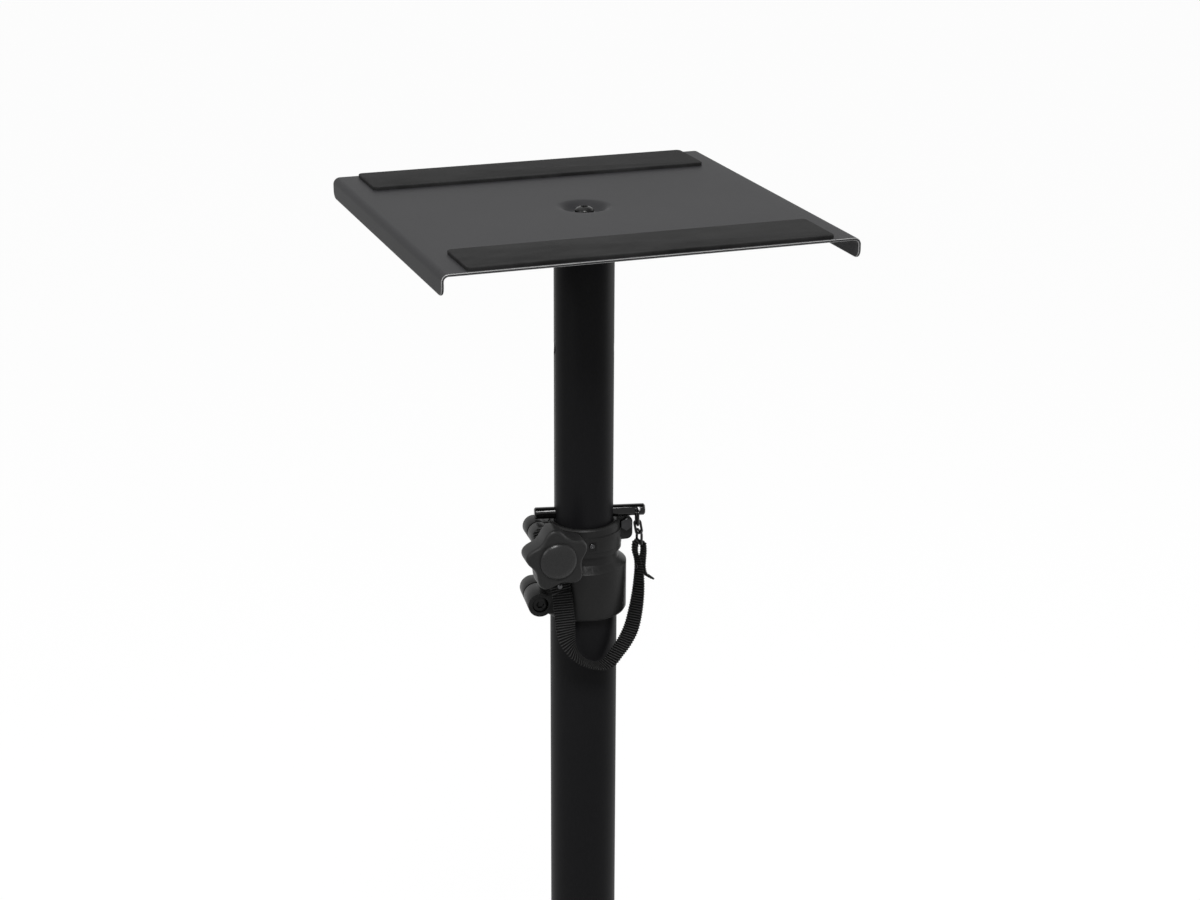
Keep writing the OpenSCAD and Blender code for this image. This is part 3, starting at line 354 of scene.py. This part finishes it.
# darkest and lightest colour, roughness and, on paint and nylon, specular level
finishes = {
    "plate": powderCoat("platePowderCoat", (0.012, 0.012, 0.013), (0.018, 0.018, 0.019), 0.5, 0.09),
    "tube": powderCoat("tubePowderCoat", (0.0034, 0.0034, 0.0038), (0.0054, 0.0054, 0.006),
                       0.42, 0.07),
    # painted highlight: light grey for the plate's bevelled edges, standing in for light caught by
    # the rounded edge
    "plateEdgeHighlight": powderCoat("platePaintedEdgeHighlight", grey(0.10), grey(0.22), 0.34, 0.5),
    "base": powderCoat("basePowderCoat", (0.008, 0.008, 0.009), (0.012, 0.012, 0.013), 0.46, 0.12),
    "nylon": mouldedNylon("collarNylon", grey(0.006), grey(0.011), 0.4, 0.14),
    "knob": mouldedNylon("knobNylon", grey(0.008), grey(0.012), 0.44, 0.18),
    "knobCap": mouldedNylon("knobCapNylon", grey(0.008), grey(0.012), 0.28, 0.25),
    "strip": rubber("stripRubber", grey(0.002), grey(0.018), 0.8),
    "pad": rubber("padRubber", grey(0.008), grey(0.014), 0.7),
    "zinc": plated("zincSteel", (0.42, 0.43, 0.45), (0.62, 0.62, 0.63), 0.3),
    "darkSteel": plated("darkSteel", (0.045, 0.045, 0.047), (0.09, 0.09, 0.092), 0.24),
    "boltSteel": plated("boltSteel", (0.022, 0.022, 0.023), (0.05, 0.05, 0.051), 0.22),
    "blackSteel": plated("blackSteel", grey(0.008), grey(0.02), 0.28),
    "pin": glossBlack("pinBlack", grey(0.002), grey(0.004), 0.08),
    "chain": glossBlack("chainBlack", grey(0.003), grey(0.010), 0.12),
    # the webbing's darkest colour is painted shade in the rib valleys, its lightest a painted
    # highlight on the crests
    "webbing": webbing("tetherWebbing", grey(0.0005), grey(0.066)),
}
print("stand: finishes ready")


def finishPiece(bm, name, finish, replaced, sharpAngle=35.0, ride=True):
    mesh = bpy.data.meshes.new(name)
    bm.to_mesh(mesh)
    bm.free()
    mesh.shade_smooth()
    mesh.set_sharp_from_angle(angle=math.radians(sharpAngle))
    mesh.materials.append(finishes[finish])
    piece = addObject(name, mesh)
    if ride:
        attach(piece, bodyOf[replaced])
    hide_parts(replaced)
    return piece


def placePiece(bm, matrix):
    bmesh.ops.transform(bm, matrix=matrix, verts=bm.verts)


def softLine(points, radius, steps):
    # a line through the points, each inner corner rounded
    line = [Vector(points[0])]
    for before, corner, after in zip(points, points[1:], points[2:]):
        corner = Vector(corner)
        a, b = Vector(before) - corner, Vector(after) - corner
        cut = min(radius, a.length * 0.45, b.length * 0.45)
        p, q = corner + a.normalized() * cut, corner + b.normalized() * cut
        for i in range(steps + 1):
            t = i / steps
            line.append(p * (1 - t) ** 2 + corner * 2 * t * (1 - t) + q * t ** 2)
    line.append(Vector(points[-1]))
    return line


def spinLine(bm, line, steps):
    # turns a line of (radius, height) points once round Z
    verts = [bm.verts.new((p[0], 0, p[1])) for p in line]
    edges = [bm.edges.new(pair) for pair in zip(verts, verts[1:])]
    bmesh.ops.spin(bm, geom=verts + edges, cent=(0, 0, 0), axis=(0, 0, 1), angle=2 * math.pi,
                   steps=steps, use_merge=True, use_normal_flip=False, use_duplicate=False)
    bmesh.ops.remove_doubles(bm, verts=bm.verts, dist=tiny)


def bevelEdges(bm, edges, offset, segments):
    bmesh.ops.bevel(bm, geom=edges, offset=offset, offset_type="OFFSET", segments=segments,
                    profile=0.5, affect="EDGES", clamp_overlap=True, material=-1)


softEdges = {"segments": 2, "fromAngle": 30.0, "flatAngle": 0.5, "weld": 2 * tiny}


def softenNode(node, finish, edge, form=softEdges):
    # a merged copy of a CAD shape, with its hard edges softened
    bm = bmesh.new()
    bm.from_mesh(nodes[node].data)
    bmesh.ops.remove_doubles(bm, verts=bm.verts, dist=form["weld"])
    bmesh.ops.dissolve_limit(bm, angle_limit=math.radians(form["flatAngle"]), verts=bm.verts,
                             edges=bm.edges, use_dissolve_boundaries=False, delimit=set())
    if edge:
        hard = [e for e in bm.edges if len(e.link_faces) == 2
                and e.calc_face_angle(0) > math.radians(form["fromAngle"])]
        bevelEdges(bm, hard, edge, form["segments"])
    return finishPiece(bm, node + "_soft", finish, node)


# The clamp's screw, turned round the column: how far it is from the column's axis to the left
# and below the pin's level, in millimetres and degrees
clampLine = {"turn": -4, "stud": -27.7, "drop": 10.7}

# The strap from its tab, round under the column and up to the chain. Each row has x, y, z from
# the column's axis and the pin's level, the turn of the width from X, the width and the layers.
strapRoute = [
    (-24.5, -16, -25, -12, 12, 2), (-22.7, -19, -32.5, -20, 12, 2),
    (-21.3, -21, -39.8, -20, 12, 2), (-21.1, -21.3, -40.8, -20, 12, 1),
    (-20.7, -22.1, -46, -20, 12, 1), (-20.4, -23, -52, -18, 12, 1),
    (-20.1, -24, -58, -12, 12, 1), (-19.9, -25, -64, 0, 12, 1),
    (-19, -26.2, -70, 20, 12, 1), (-16.6, -27.4, -76, 44, 12, 1),
    (-12, -28, -82, 66, 12, 1), (-5.5, -28, -86.5, 82, 12, 1),
    (1.5, -27.6, -88.6, 94, 12, 1), (7.2, -26.8, -87.2, 102, 12, 1),
    (12.4, -25, -82.6, 108, 12, 1), (18.2, -22.6, -77.2, 112, 12, 1),
    (23.4, -19.6, -70.4, 114, 12, 1), (27.1, -16.4, -61.6, 113, 11.6, 1),
    (29.7, -13.6, -52.4, 110, 11, 1), (31.2, -11.2, -44, 108, 10, 1),
    (31.7, -9.6, -37.2, 109, 8.2, 1), (31.2, -8.6, -31.8, 110, 6.6, 1),
    (29.9, -7.8, -26.8, 112, 5.6, 1),
]
# the tab in front of the clamp's ear: shift along and up from the stud, turn and width
strapTab = {
    "front": 15.6,
    "layers": 2,
    "rows": [(-2.1, 9.3, 0, 5), (-1.8, 8.1, 0, 9.6), (-1.4, 6.5, 0, 12), (0.2, 0.4, 0, 12),
             (2, -6.5, -2, 12)],
}
# the fold over the chain's last link, and the tail that hangs out beside it
strapFold = {"x": 32.534, "y": -7.511, "z": -22.73, "radius": 2.6, "steps": 8, "row": (112, 5.6, 1)}
strapTail = [
    (35.3, -7.7, -26.8, 112, 5.6, 1), (34.6, -8.2, -31.4, 111, 6.2, 1),
    (34, -8.7, -35.6, 109, 7, 1), (34.3, -9, -39.2, 107, 8.4, 1),
    (36.4, -9.2, -42.2, 104, 9, 1), (40.3, -9.2, -44.2, 102, 9, 1),
]
strapForm = {
    "thick": 1.3, "mapWidth": 12, "pitch": webbingWeave["ribPitch"], "ringsPerRib": 5,
    "phase": 0.5, "ribHeight": 0.5, "ribEdge": 0.45, "seam": 0.5, "pathStep": 3,
}


def wholeRoute(tab, start, fold, tail):
    turn = math.radians(clampLine["turn"])
    begin, bend = [], []
    for shift, up, twist, width in tab["rows"]:
        x, y = clampLine["stud"] + shift, -tab["front"]
        begin.append((x * math.cos(turn) - y * math.sin(turn),
                      x * math.sin(turn) + y * math.cos(turn),
                      up - clampLine["drop"], twist + clampLine["turn"], width, tab["layers"]))
    for i in range(fold["steps"] + 1):
        angle = math.pi * (1 - i / fold["steps"])
        bend.append((fold["x"] + fold["radius"] * math.cos(angle), fold["y"],
                     fold["z"] + fold["radius"] * math.sin(angle), *fold["row"]))
    return begin + start + bend + tail


def smoothRoute(route, step, fineSteps=12):
    # even steps along a smooth curve through the route
    fine = []
    last = len(route) - 1
    for i in range(last):
        p = [Vector(route[max(0, min(last, i + k))]) for k in (-1, 0, 1, 2)]
        for s in range(fineSteps):
            t = s / fineSteps
            point = 0.5 * (2 * p[1] + (p[2] - p[0]) * t
                           + (2 * p[0] - 5 * p[1] + 4 * p[2] - p[3]) * t * t
                           + (3 * p[1] - p[0] - 3 * p[2] + p[3]) * t ** 3)
            point[5] = p[1][5] + (p[2][5] - p[1][5]) * t
            fine.append(point)
    fine.append(Vector(route[-1]))
    gone = [0.0]
    for a, b in zip(fine, fine[1:]):
        gone.append(gone[-1] + (b.to_3d() - a.to_3d()).length)
    count = max(2, round(gone[-1] / step))
    even, k = [], 0
    for i in range(count + 1):
        want = gone[-1] * i / count
        while k < len(gone) - 2 and gone[k + 1] < want:
            k += 1
        t = (want - gone[k]) / (gone[k + 1] - gone[k])
        even.append(fine[k].lerp(fine[k + 1], min(1, max(0, t))))
    return even, gone[-1]


def fromColumn(place):
    # a point in millimetres from the column's axis and the pin's level, in the frame's metres
    return (place[0] * mm, place[1] * mm + columnY, place[2] * mm + pinZ)


halfSection = [(0.92, -1), (1, -0.72), (1, -0.22), (1, 0), (1, 0.22), (1, 0.72), (0.92, 1),
               (0.5, 1), (0, 1)]
sectionShape = halfSection + [(-x, -y) for x, y in halfSection]


def strapSection(ring, rib, form):
    # one outline across the strap, with the seam's nick at each side where it is doubled
    wide = ring[4] / 2 + form["ribEdge"] * (rib - 1) / 2
    thick = ring[5] * form["thick"] / 2 + form["ribHeight"] * (rib - 1) / 2
    seam = form["seam"] * (ring[5] - 1)
    for x, y in sectionShape:
        if seam and y == 0 and x != 0:
            x = math.copysign(abs(x) - seam * 2 / ring[4], x)
        yield x * wide, y * thick


def makeStrap(route, form):
    rings, whole = smoothRoute(route, form["pitch"] / form["ringsPerRib"])
    bm = bmesh.new()
    webbingMap = bm.loops.layers.uv.new("webbing")
    rows = []
    for i, ring in enumerate(rings):
        ahead, back = rings[min(i + 1, len(rings) - 1)], rings[max(i - 1, 0)]
        way = (ahead.to_3d() - back.to_3d()).normalized()
        turn = math.radians(ring[3])
        across = Vector((math.cos(turn), math.sin(turn), 0))
        across = (across - way * across.dot(way)).normalized()
        face = way.cross(across)
        rib = math.cos(2 * math.pi * (i / form["ringsPerRib"] + form["phase"]))
        rows.append([bm.verts.new(fromColumn(ring.to_3d() + across * x + face * y))
                     for x, y in strapSection(ring, rib, form)])
    step = whole / (len(rows) - 1) * mm
    shift = form["phase"] * form["ringsPerRib"]
    for i, (a, b) in enumerate(zip(rows, rows[1:])):
        for j in range(len(sectionShape)):
            k = (j + 1) % len(sectionShape)
            quad = bm.faces.new((a[j], a[k], b[k], b[j]))
            for loop, (u, v) in zip(quad.loops, ((i, j), (i, k), (i + 1, k), (i + 1, j))):
                loop[webbingMap].uv = ((u + shift) * step,
                                       sectionShape[v][0] * form["mapWidth"] / 2 * mm)
    bm.faces.new(list(reversed(rows[0])))
    bm.faces.new(rows[-1])
    strap = finishPiece(bm, "tether_webbing", "webbing", "tether_strap", 60.0, ride=False)
    line = [fromColumn(ring) for ring in rings[::form["pathStep"]]]
    if (len(rings) - 1) % form["pathStep"]:
        line.append(fromColumn(rings[-1]))
    return strap, line, whole * mm


chainForm = {"wire": 1.6, "cornerSteps": 6, "roundness": 3}
chainLinks = {
    "chain_link_upper": {"width": 7.5, "height": 8.9, "top": (31.18, -7.198, 0),
                         "turn": 77, "lean": 0, "corner": 1.7},
    "chain_link_middle": {"width": 1.9, "height": 8, "top": (31.18, -7.198, -7.35),
                          "turn": -13, "lean": 10, "corner": 1.9},
    "chain_link_lower": {"width": 6.4, "height": 8, "top": (32.534, -7.511, -13.68),
                         "turn": 90, "lean": 0, "corner": 1.7},
}


def makeLink(node, form, link):
    # one closed wire, drawn in the XZ plane under its top, leaned, turned and hung in its place
    halfWidth = (link["width"] + form["wire"]) / 2
    height = link["height"]
    r = min(link["corner"], halfWidth - form["wire"] / 4)
    points = []
    for cx, cz, start in ((halfWidth - r, -r, 0), (r - halfWidth, -r, 90),
                          (r - halfWidth, r - height, 180), (halfWidth - r, r - height, 270)):
        for i in range(form["cornerSteps"] + 1):
            angle = math.radians(start + 90 * i / form["cornerSteps"])
            points.append((cx + r * math.cos(angle), 0, cz + r * math.sin(angle)))
    curve = bpy.data.curves.new(node + "_line", "CURVE")
    curve.dimensions = "3D"
    spline = curve.splines.new("POLY")
    spline.points.add(len(points) - 1)
    for point, place in zip(spline.points, points):
        point.co = (*[c * mm for c in place], 1)
    spline.use_cyclic_u = True
    curve.bevel_depth = form["wire"] / 2 * mm
    curve.bevel_resolution = form["roundness"]
    wire = addObject(node + "_line", curve)
    bpy.context.view_layer.update()
    drawn = wire.evaluated_get(bpy.context.evaluated_depsgraph_get())
    mesh = bpy.data.meshes.new_from_object(drawn)
    bm = bmesh.new()
    bm.from_mesh(mesh)
    bpy.data.objects.remove(wire)
    bpy.data.meshes.remove(mesh)
    bmesh.ops.remove_doubles(bm, verts=bm.verts, dist=tiny)
    bmesh.ops.recalc_face_normals(bm, faces=bm.faces)
    placePiece(bm, Matrix.Translation(fromColumn(link["top"]))
               @ Matrix.Rotation(math.radians(link["turn"]), 4, "Z")
               @ Matrix.Rotation(math.radians(-link["lean"]), 4, "Y"))
    return finishPiece(bm, node + "_wire", "chain", node)


tetherRoute = wholeRoute(strapTab, strapRoute, strapFold, strapTail)
tether, tetherLine, tetherLength = makeStrap(tetherRoute, strapForm)
print("stand: tether", round(tetherLength, 4), "m")
links = [makeLink(node, chainForm, link) for node, link in chainLinks.items()]
rivets = [softenNode(node, "darkSteel", 0.2 * mm)
          for node in ("strap_rivet_left", "strap_rivet_right")]
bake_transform(tether)
print("stand: tether and chain done")

plateForm = {
    "width": 235, "depth": 230, "sheet": 1.5, "lip": 12, "bend": 4, "bendSteps": 8,
    "corner": 5, "cornerSteps": 6, "gridSteps": 24,
    "mouth": 14, "floor": 8.5, "dish": 4.5, "hole": 3.3, "softness": 3.0, "softSteps": 6,
    "ring": 6, "dishSteps": 96, "window": 27,  # the flat ring round the dish, in the grid's window
    "edge": 0.42, "edgeAngle": 50,
}


def beyondDish(edge, form):
    return edge.verts[0].co.xy.length > (form["mouth"] + form["ring"] - 1) * mm


def pressDish(bm, form):
    # the dish with a flat ring round it; gives back the ring's outer edges
    line = softLine([(form["hole"], -form["dish"]), (form["floor"], -form["dish"]),
                     (form["mouth"], 0), (form["mouth"] + form["ring"], 0)],
                    form["softness"], form["softSteps"])
    spinLine(bm, [p * mm for p in line], form["dishSteps"])
    return [e for e in bm.edges if e.is_boundary and beyondDish(e, form)]


def bendSide(bm, form, side, foldAt):
    # turns one side of the sheet down: the bend, then the flat lip
    edges = [e for e in bm.edges if all(abs(v.co.x - side * foldAt) < tiny for v in e.verts)]
    verts = [v for v in bm.verts if abs(v.co.x - side * foldAt) < tiny]
    last = bmesh.ops.spin(bm, geom=verts + edges, cent=(side * foldAt, 0, -form["bend"] * mm),
                          axis=(0, side, 0), angle=math.pi / 2, steps=form["bendSteps"],
                          use_duplicate=False)["geom_last"]
    ends = [e for e in last if isinstance(e, bmesh.types.BMEdge)]
    lip = bmesh.ops.extrude_edge_only(bm, edges=ends)
    bmesh.ops.translate(bm, vec=(0, 0, -(form["lip"] - form["bend"]) * mm),
                        verts=[v for v in lip["geom"] if isinstance(v, bmesh.types.BMVert)])


def makePlate(form):
    bm = bmesh.new()
    rim = pressDish(bm, form)
    flat = (form["width"] - 2 * form["bend"]) * mm
    deep = form["depth"] * mm
    grid = bmesh.ops.create_grid(bm, x_segments=form["gridSteps"], y_segments=form["gridSteps"],
                                 size=0.5, matrix=Matrix.Diagonal((flat, deep, 1, 1)))
    gridVerts = set(grid["verts"])
    inner = [f for f in bm.faces if f.verts[0] in gridVerts
             and max(abs(c) for c in f.calc_center_median()) < form["window"] * mm]
    bmesh.ops.delete(bm, geom=inner, context="FACES")
    nearDish = flat / 5  # the grid's outer border lies beyond this
    window = [e for e in bm.edges if e.is_boundary and e not in rim and beyondDish(e, form)
              and max(abs(c) for c in e.verts[0].co.xy) < nearDish]
    bmesh.ops.bridge_loops(bm, edges=rim + window)
    for side in (1, -1):
        bendSide(bm, form, side, flat / 2)
    bmesh.ops.remove_doubles(bm, verts=bm.verts, dist=tiny)
    corners = [v for v in bm.verts if abs(v.co.z + form["lip"] * mm) < tiny
               and abs(abs(v.co.y) - deep / 2) < tiny]
    bmesh.ops.bevel(bm, geom=corners, offset=form["corner"] * mm, segments=form["cornerSteps"],
                    profile=0.5, affect="VERTICES", clamp_overlap=False, material=-1)
    bmesh.ops.recalc_face_normals(bm, faces=bm.faces)
    if sum(f.normal.z for f in bm.faces) < 0:
        bmesh.ops.reverse_faces(bm, faces=bm.faces)
    placePiece(bm, Matrix.Translation((0, columnY, plateTop)))
    plate = finishPiece(bm, "speaker_plate", "plate", "top_plate", form["edgeAngle"])
    plate.data.materials.append(finishes["plateEdgeHighlight"])
    wall = plate.modifiers.new("sheet", "SOLIDIFY")
    wall.thickness = form["sheet"] * mm
    wall.offset = -1
    wall.use_even_offset = True
    soft = plate.modifiers.new("edge", "BEVEL")
    soft.width = form["edge"] * mm
    soft.segments = 2
    soft.limit_method = "ANGLE"
    soft.angle_limit = math.radians(form["edgeAngle"])
    soft.harden_normals = True
    soft.material = 1  # painted highlight: a light grey line on the bevelled edges, where the rounded edge would catch the light


makePlate(plateForm)

stripForm = {"corner": 3.0, "cornerSteps": 6, "edge": 0.55, "edgeSteps": 4, "rimAngle": 57}


def makeStrip(node, form):
    low, high = (Vector(p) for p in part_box(node))
    bm = bmesh.new()
    bmesh.ops.create_cube(bm, size=1, matrix=Matrix.Translation((low + high) / 2)
                          @ Matrix.Diagonal((*(high - low), 1)))
    upright = [e for e in bm.edges if abs(e.verts[0].co.z - e.verts[1].co.z) > tiny]
    bevelEdges(bm, upright, form["corner"] * mm, form["cornerSteps"])
    rim = [e for e in bm.edges if all(v.co.z > high.z - tiny for v in e.verts)
           and len(e.link_faces) == 2 and e.calc_face_angle(0) > math.radians(form["rimAngle"])]
    bevelEdges(bm, rim, form["edge"] * mm, form["edgeSteps"])
    finishPiece(bm, node + "_sheet", "strip", node)


makeStrip("rubber_strip_front", stripForm)
makeStrip("rubber_strip_rear", stripForm)
print("stand: plate and strips done")

knobForm = {
    "radius": 19.0, "valley": 14.6, "lobes": 5, "turned": 26.0, "power": 1.15, "segments": 120,
    "thick": 14.8, "edge": 2.2, "edgeSteps": 5, "ditch": 0.35, "ditchWidth": 0.7,
    "dome": 11.0, "domeHeight": 3.25, "flat": 0.12, "domeRings": 12, "domeStep": 7,
    "back": 31.25, "hub": 7.0, "hubLength": 12.4, "hubSunk": 0.3, "hubSegments": 48,
}


def makeKnob(form):
    bm = bmesh.new()
    bmesh.ops.create_circle(bm, cap_ends=False, radius=1, segments=form["segments"])
    ring = list(bm.edges)

    def lobed(angle, inset):
        swell = (1 + math.cos(form["lobes"] * (angle - math.radians(form["turned"])))) / 2
        return form["valley"] + (form["radius"] - form["valley"]) * swell ** form["power"] - inset

    def shapeRing(edges, level, radiusAt):
        for v in {v for e in edges for v in e.verts}:
            angle = math.atan2(v.co.y, v.co.x)
            r = radiusAt(angle)
            v.co = Vector((r * math.cos(angle), r * math.sin(angle), level)) * mm

    def grow(edges, level, radiusAt):
        made = bmesh.ops.extrude_edge_only(bm, edges=edges)["geom"]
        edges = [e for e in made if isinstance(e, bmesh.types.BMEdge) and e.is_boundary
                 and e.verts[0] in made and e.verts[1] in made]
        shapeRing(edges, level, radiusAt)
        return edges

    edge, thick, dome = form["edge"], form["thick"], form["dome"]
    shapeRing(ring, 0, lambda a: lobed(a, edge))
    backFace = list(ring)
    arc = [math.radians(90 * i / form["edgeSteps"]) for i in range(form["edgeSteps"] + 1)]
    for turn in arc[1:]:
        ring = grow(ring, edge * (1 - math.cos(turn)),
                    lambda a: lobed(a, edge * (1 - math.sin(turn))))
    for turn in reversed(arc):
        ring = grow(ring, thick - edge * (1 - math.cos(turn)),
                    lambda a: lobed(a, edge * (1 - math.sin(turn))))
    ring = grow(ring, thick - form["ditch"], lambda a: dome + form["ditchWidth"])
    ring = grow(ring, thick - form["ditch"] * 0.8, lambda a: dome)
    for i in range(1, form["domeRings"] + 1):
        turn = math.radians(form["domeStep"] * i)
        ring = grow(ring, thick + form["domeHeight"] * math.sin(turn),
                    lambda a: dome * (form["flat"] + (1 - form["flat"]) * math.cos(turn)))
    bmesh.ops.contextual_create(bm, geom=ring)
    bmesh.ops.contextual_create(bm, geom=backFace)
    bmesh.ops.recalc_face_normals(bm, faces=bm.faces)
    for face in bm.faces:
        centre = face.calc_center_median()
        if centre.z > thick * mm and centre.xy.length < dome * mm:
            face.material_index = 1
    hub = bmesh.ops.create_cone(bm, cap_ends=True, segments=form["hubSegments"],
                                radius1=form["hub"] * mm, radius2=form["hub"] * mm,
                                depth=form["hubLength"] * mm)
    bmesh.ops.translate(bm, vec=(0, 0, (form["hubSunk"] - form["hubLength"] / 2) * mm),
                        verts=hub["verts"])
    placePiece(bm, Matrix.Translation((0, columnY, pinZ))
               @ Matrix.Rotation(math.radians(clampLine["turn"]), 4, "Z")
               @ Matrix.Translation(Vector((clampLine["stud"], -form["back"],
                                            -clampLine["drop"])) * mm)
               @ Matrix.Rotation(math.radians(90), 4, "X"))
    knob = finishPiece(bm, "clamp_knob_body", "knob", "star_knob", 40.0)
    knob.data.materials.append(finishes["knobCap"])


makeKnob(knobForm)
print("stand: knob done")

# CAD shapes that keep their form: finish, edge in millimetres, nodes
softNodes = [
    ("base", 0.6, "hub_plate"),
    ("base", 0.4, "column_socket"),
    ("base", 0, "leg_rear", "leg_left", "leg_right"),
    ("nylon", 0, "leg_end_caps"),
    ("zinc", 0.4, "leg_bolts"),
    ("zinc", 0.3, "leg_weld_nuts", "foot_weld_nuts"),
    ("zinc", 0.4, "base_bolt"),
    ("zinc", 0.3, "base_washer"),
    ("darkSteel", 0.3, "column_plug"),
    ("tube", 0.3, "outer_tube"),
    ("nylon", 0.3, "guide_sleeve"),
    ("nylon", 0.45, "collar_sleeve"),
    ("nylon", 0.5, "clamp_band_front", "clamp_band_rear"),
    ("boltSteel", 0.3, "band_bolt", "band_nut"),
    ("darkSteel", 0.15, "band_set_screw"),
    ("blackSteel", 0.3, "sleeve_clamp_screw"),
    ("zinc", 0.3, "sleeve_clamp_nut", "knob_nut"),
    ("zinc", 0.25, "knob_washer"),
    ("zinc", 0.3, "knob_stud"),
    ("tube", 0.25, "inner_tube"),
    ("nylon", 0.4, "inner_tube_bush"),
    ("darkSteel", 0.3, "tube_top_plug"),
    ("blackSteel", 0.35, "plate_bolt"),
    ("blackSteel", 0.2, "plate_washer"),
    ("pin", 0.2, "securing_pin"),
    ("pad", 0.4, "foot_pad_rear", "foot_pad_left", "foot_pad_right"),
    ("zinc", 0.3, "foot_spindle_rear", "foot_spindle_left", "foot_spindle_right"),
]
for finish, edge, *names in softNodes:
    for node in names:
        softenNode(node, finish, edge * mm)
print("stand: carried-over shapes done")

studio = {
    "floor": 30.0, "floorShade": 0.9, "floorRough": 0.9, "floorSpecular": 0.1,
    "floorGlow": 0.92, "glow": 1.04, "world": 0.22, "backdrop": 0.98,
    "lamps": [  # name, place, the height on the column that it faces, side in metres, watts
        ("overheadBox", (-0.25, 0.15, 2.35), 0.95, 1.6, 12.0),
        ("frontBox", (-0.25, -1.1, 2.15), 0.75, 0.5, 30.0),
        ("leftBox", (-1.9, -0.8, 1.9), 0.75, 1.0, 15.0),
        ("rightBox", (2.3, 0.2, 1.2), 0.7, 1.2, 8.0),
    ],
}
white = (*grey(1), 1)


def makeFloor(form):
    bm = bmesh.new()
    bmesh.ops.create_grid(bm, x_segments=1, y_segments=1, size=form["floor"])
    mesh = bpy.data.meshes.new("studioFloor")
    bm.to_mesh(mesh)
    bm.free()
    finish = Finish("paleFloor", Roughness=form["floorRough"],
                    Base_Color=(*grey(form["floorShade"]), 1),
                    Specular_IOR_Level=form["floorSpecular"])
    glow = finish.add("ShaderNodeEmission", None, {"Color": white, "Strength": form["glow"]})
    mixed = finish.add("ShaderNodeMixShader", None,
                       {0: finish.backgroundRays() * form["floorGlow"], 1: finish.surface, 2: glow})
    finish.feed(finish.result.node.inputs["Surface"], mixed)
    mesh.materials.append(finish.material)
    addObject("studioFloor", mesh)


def makeWorld(form):
    world = bpy.data.worlds.new("studioWorld")
    world.use_nodes = True
    bpy.context.scene.world = world
    sky = NodeBoard(world.node_tree)
    soft = sky.add("ShaderNodeBackground", None, {"Color": white, "Strength": form["world"]})
    pale = sky.add("ShaderNodeBackground", None, {"Color": white, "Strength": form["backdrop"]})
    mixed = sky.add("ShaderNodeMixShader", None, {0: sky.backgroundRays(), 1: soft, 2: pale})
    sky.add("ShaderNodeOutputWorld", None, {"Surface": mixed})


def hangLamp(name, place, height, size, power):
    data = bpy.data.lights.new(name, "AREA")
    data.shape = "SQUARE"
    data.size = size
    data.energy = power
    lamp = addObject(name, data)
    lamp.location = place
    way = Vector((0, columnY, height)) - Vector(place)
    lamp.rotation_euler = way.to_track_quat("-Z", "Y").to_euler()


makeFloor(studio)
makeWorld(studio)
for lamp in studio["lamps"]:
    hangLamp(*lamp)
bpy.context.scene.view_settings.view_transform = "Standard"
print("stand: studio done")
